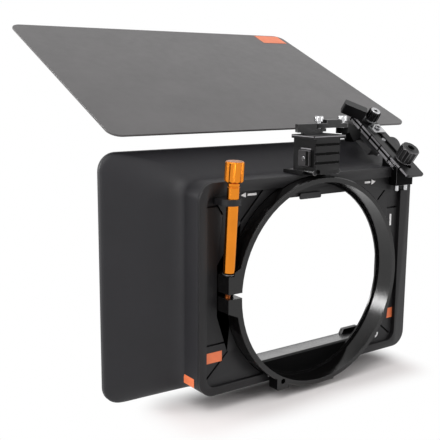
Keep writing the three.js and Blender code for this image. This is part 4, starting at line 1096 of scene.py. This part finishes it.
def shared_rays(nodes, links):
    """Node whose Value is 1 for camera, glossy and transmission rays, and 0 for the rest."""
    path = nodes.new("ShaderNodeLightPath")
    seen = nodes.new("ShaderNodeMath")
    seen.operation = "MAXIMUM"
    links.new(path.outputs["Is Camera Ray"], seen.inputs[0])
    links.new(path.outputs["Is Glossy Ray"], seen.inputs[1])
    through = nodes.new("ShaderNodeMath")
    through.operation = "MAXIMUM"
    links.new(seen.outputs["Value"], through.inputs[0])
    links.new(path.outputs["Is Transmission Ray"], through.inputs[1])
    return through


def footprint_fade(shader):
    """Node whose Result goes from 0 at the object's footprint to 1 away from it."""
    last = (shader.add("ShaderNodeTexCoord"), "Object")
    steps = [("SUBTRACT", FOOT_MIDDLE), ("ABSOLUTE", None), ("SUBTRACT", FOOT_HALF), ("MAXIMUM", (0, 0, 0))]
    for operation, value in steps:
        step = shader.add("ShaderNodeVectorMath", operation=operation)
        shader.link(*last, step, 0)
        if value is not None:
            step.inputs[1].default_value = value
        last = (step, "Vector")
    apart = shader.add("ShaderNodeVectorMath", operation="LENGTH")
    shader.link(*last, apart, 0)
    fade = shader.add("ShaderNodeMapRange", interpolation_type="SMOOTHSTEP")
    fade.inputs["From Min"].default_value = FADE_START
    fade.inputs["From Max"].default_value = FADE_END
    shader.link(apart, "Value", fade, "Value")
    return fade


def make_floor():
    bpy.ops.mesh.primitive_plane_add(size=FLOOR_SIZE, location=(0, 0, cad_low.z - FLOOR_DROP))
    floor = bpy.context.object
    floor.name = "floor"
    shader = Shader("floor_paper")
    shader.set(
        Base_Color=(*FLOOR_COLOUR, 1), Roughness=FLOOR_ROUGHNESS, Specular_IOR_Level=FLOOR_SPECULAR,
    )
    share = shader.add("ShaderNodeMath", operation="MULTIPLY")
    shader.link(footprint_fade(shader), "Result", share, 0)
    shader.link(shared_rays(shader.nodes, shader.links), "Value", share, 1)
    white = shader.add("ShaderNodeEmission")
    mix = shader.add("ShaderNodeMixShader")
    shader.link(share, "Value", mix, 0)
    shader.link(shader.bsdf, "BSDF", mix, 1)
    shader.link(white, "Emission", mix, 2)
    shader.link(mix, "Shader", shader.nodes["Material Output"], "Surface")
    floor.data.materials.append(shader.material)


# World: white for what is seen, and a room that is darker behind the camera for the light itself

WORLD_BACK = 1.0
WORLD_FRONT = 0.3
WORLD_TURN = (-0.75, 0.25)


def make_world():
    world = bpy.data.worlds.new("studio")
    world.use_nodes = True
    scene.world = world
    nodes = world.node_tree.nodes
    links = world.node_tree.links
    background = nodes["Background"]
    background.inputs["Color"].default_value = (1, 1, 1, 1)
    place = nodes.new("ShaderNodeTexCoord")
    apart = nodes.new("ShaderNodeSeparateXYZ")
    links.new(place.outputs["Generated"], apart.inputs["Vector"])
    room = nodes.new("ShaderNodeMapRange")
    room.interpolation_type = "SMOOTHSTEP"
    room.inputs["From Min"].default_value = WORLD_TURN[0]
    room.inputs["From Max"].default_value = WORLD_TURN[1]
    room.inputs["To Min"].default_value = WORLD_FRONT
    room.inputs["To Max"].default_value = WORLD_BACK
    links.new(apart.outputs["Y"], room.inputs["Value"])
    strength = nodes.new("ShaderNodeMix")
    links.new(shared_rays(nodes, links).outputs["Value"], strength.inputs["Factor"])
    links.new(room.outputs["Result"], strength.inputs["A"])
    strength.inputs["B"].default_value = 1.0
    links.new(strength.outputs["Result"], background.inputs["Strength"])


# Lamps: name, place and size in metres, and power in watts. All of them aim at the origin

LAMPS = [
    ("key", (-0.7, -0.3, 1.1), (0.8, 0.8), 7),
    ("fill", (0.9, -0.8, 0.6), (0.7, 0.7), 3),
    ("rim", (-0.84, 0.77, 0.35), (0.35, 0.2), 5),
    ("strip_left", (-0.95, -0.1, 0.25), (0.1, 0.8), 1.6),
    ("strip_right", (0.5, -1.0, 0.35), (0.1, 0.8), 1.6),
]


def softbox(name, place, size, power):
    data = bpy.data.lights.new(name, "AREA")
    data.shape = "RECTANGLE"
    data.size, data.size_y = size
    data.energy = power
    light = bpy.data.objects.new(name, data)
    scene.collection.objects.link(light)
    light.visible_camera = False
    light.location = place
    light.rotation_euler = (-Vector(place)).to_track_quat("-Z", "Y").to_euler()


def make_lights():
    for lamp in LAMPS:
        softbox(*lamp)


# Nodes whose own solid is dressed: rounded edges, with a painted highlight on black metal

BLOCK_ROUND = 0.4


def dress_the_rest():
    # painted shade: the wedge block and the upper knob in the shaded black
    dressed("wedge_block", edge=BLOCK_ROUND, finish="painted_shade_black")
    dressed("upper_knob", finish="painted_shade_black")
    dressed("thrust_washer", finish="deep_black", slot="black_anodised")
    for node in frame["nodes"]:
        if node not in replaced:
            dressed(node, worn=slot_of[node] == "black_anodised")


scene.view_settings.view_transform = "Standard"
make_camera()
make_world()
make_floor()
make_lights()
materials = make_materials()
hood()
catches()
guide("filter_guide_left", -1)
guide("filter_guide_right", 1)
clamp_thread()
clamp_shaft()
marks()
rail_plate("rail_upper_plate")
rail_plate("rail_lower_plate")
rear_frame()
painted_shade_sheet()
receiver()
latch()
cap_screws()
clamp_ring()
rail_bracket()
latch_spring()
dress_the_rest()
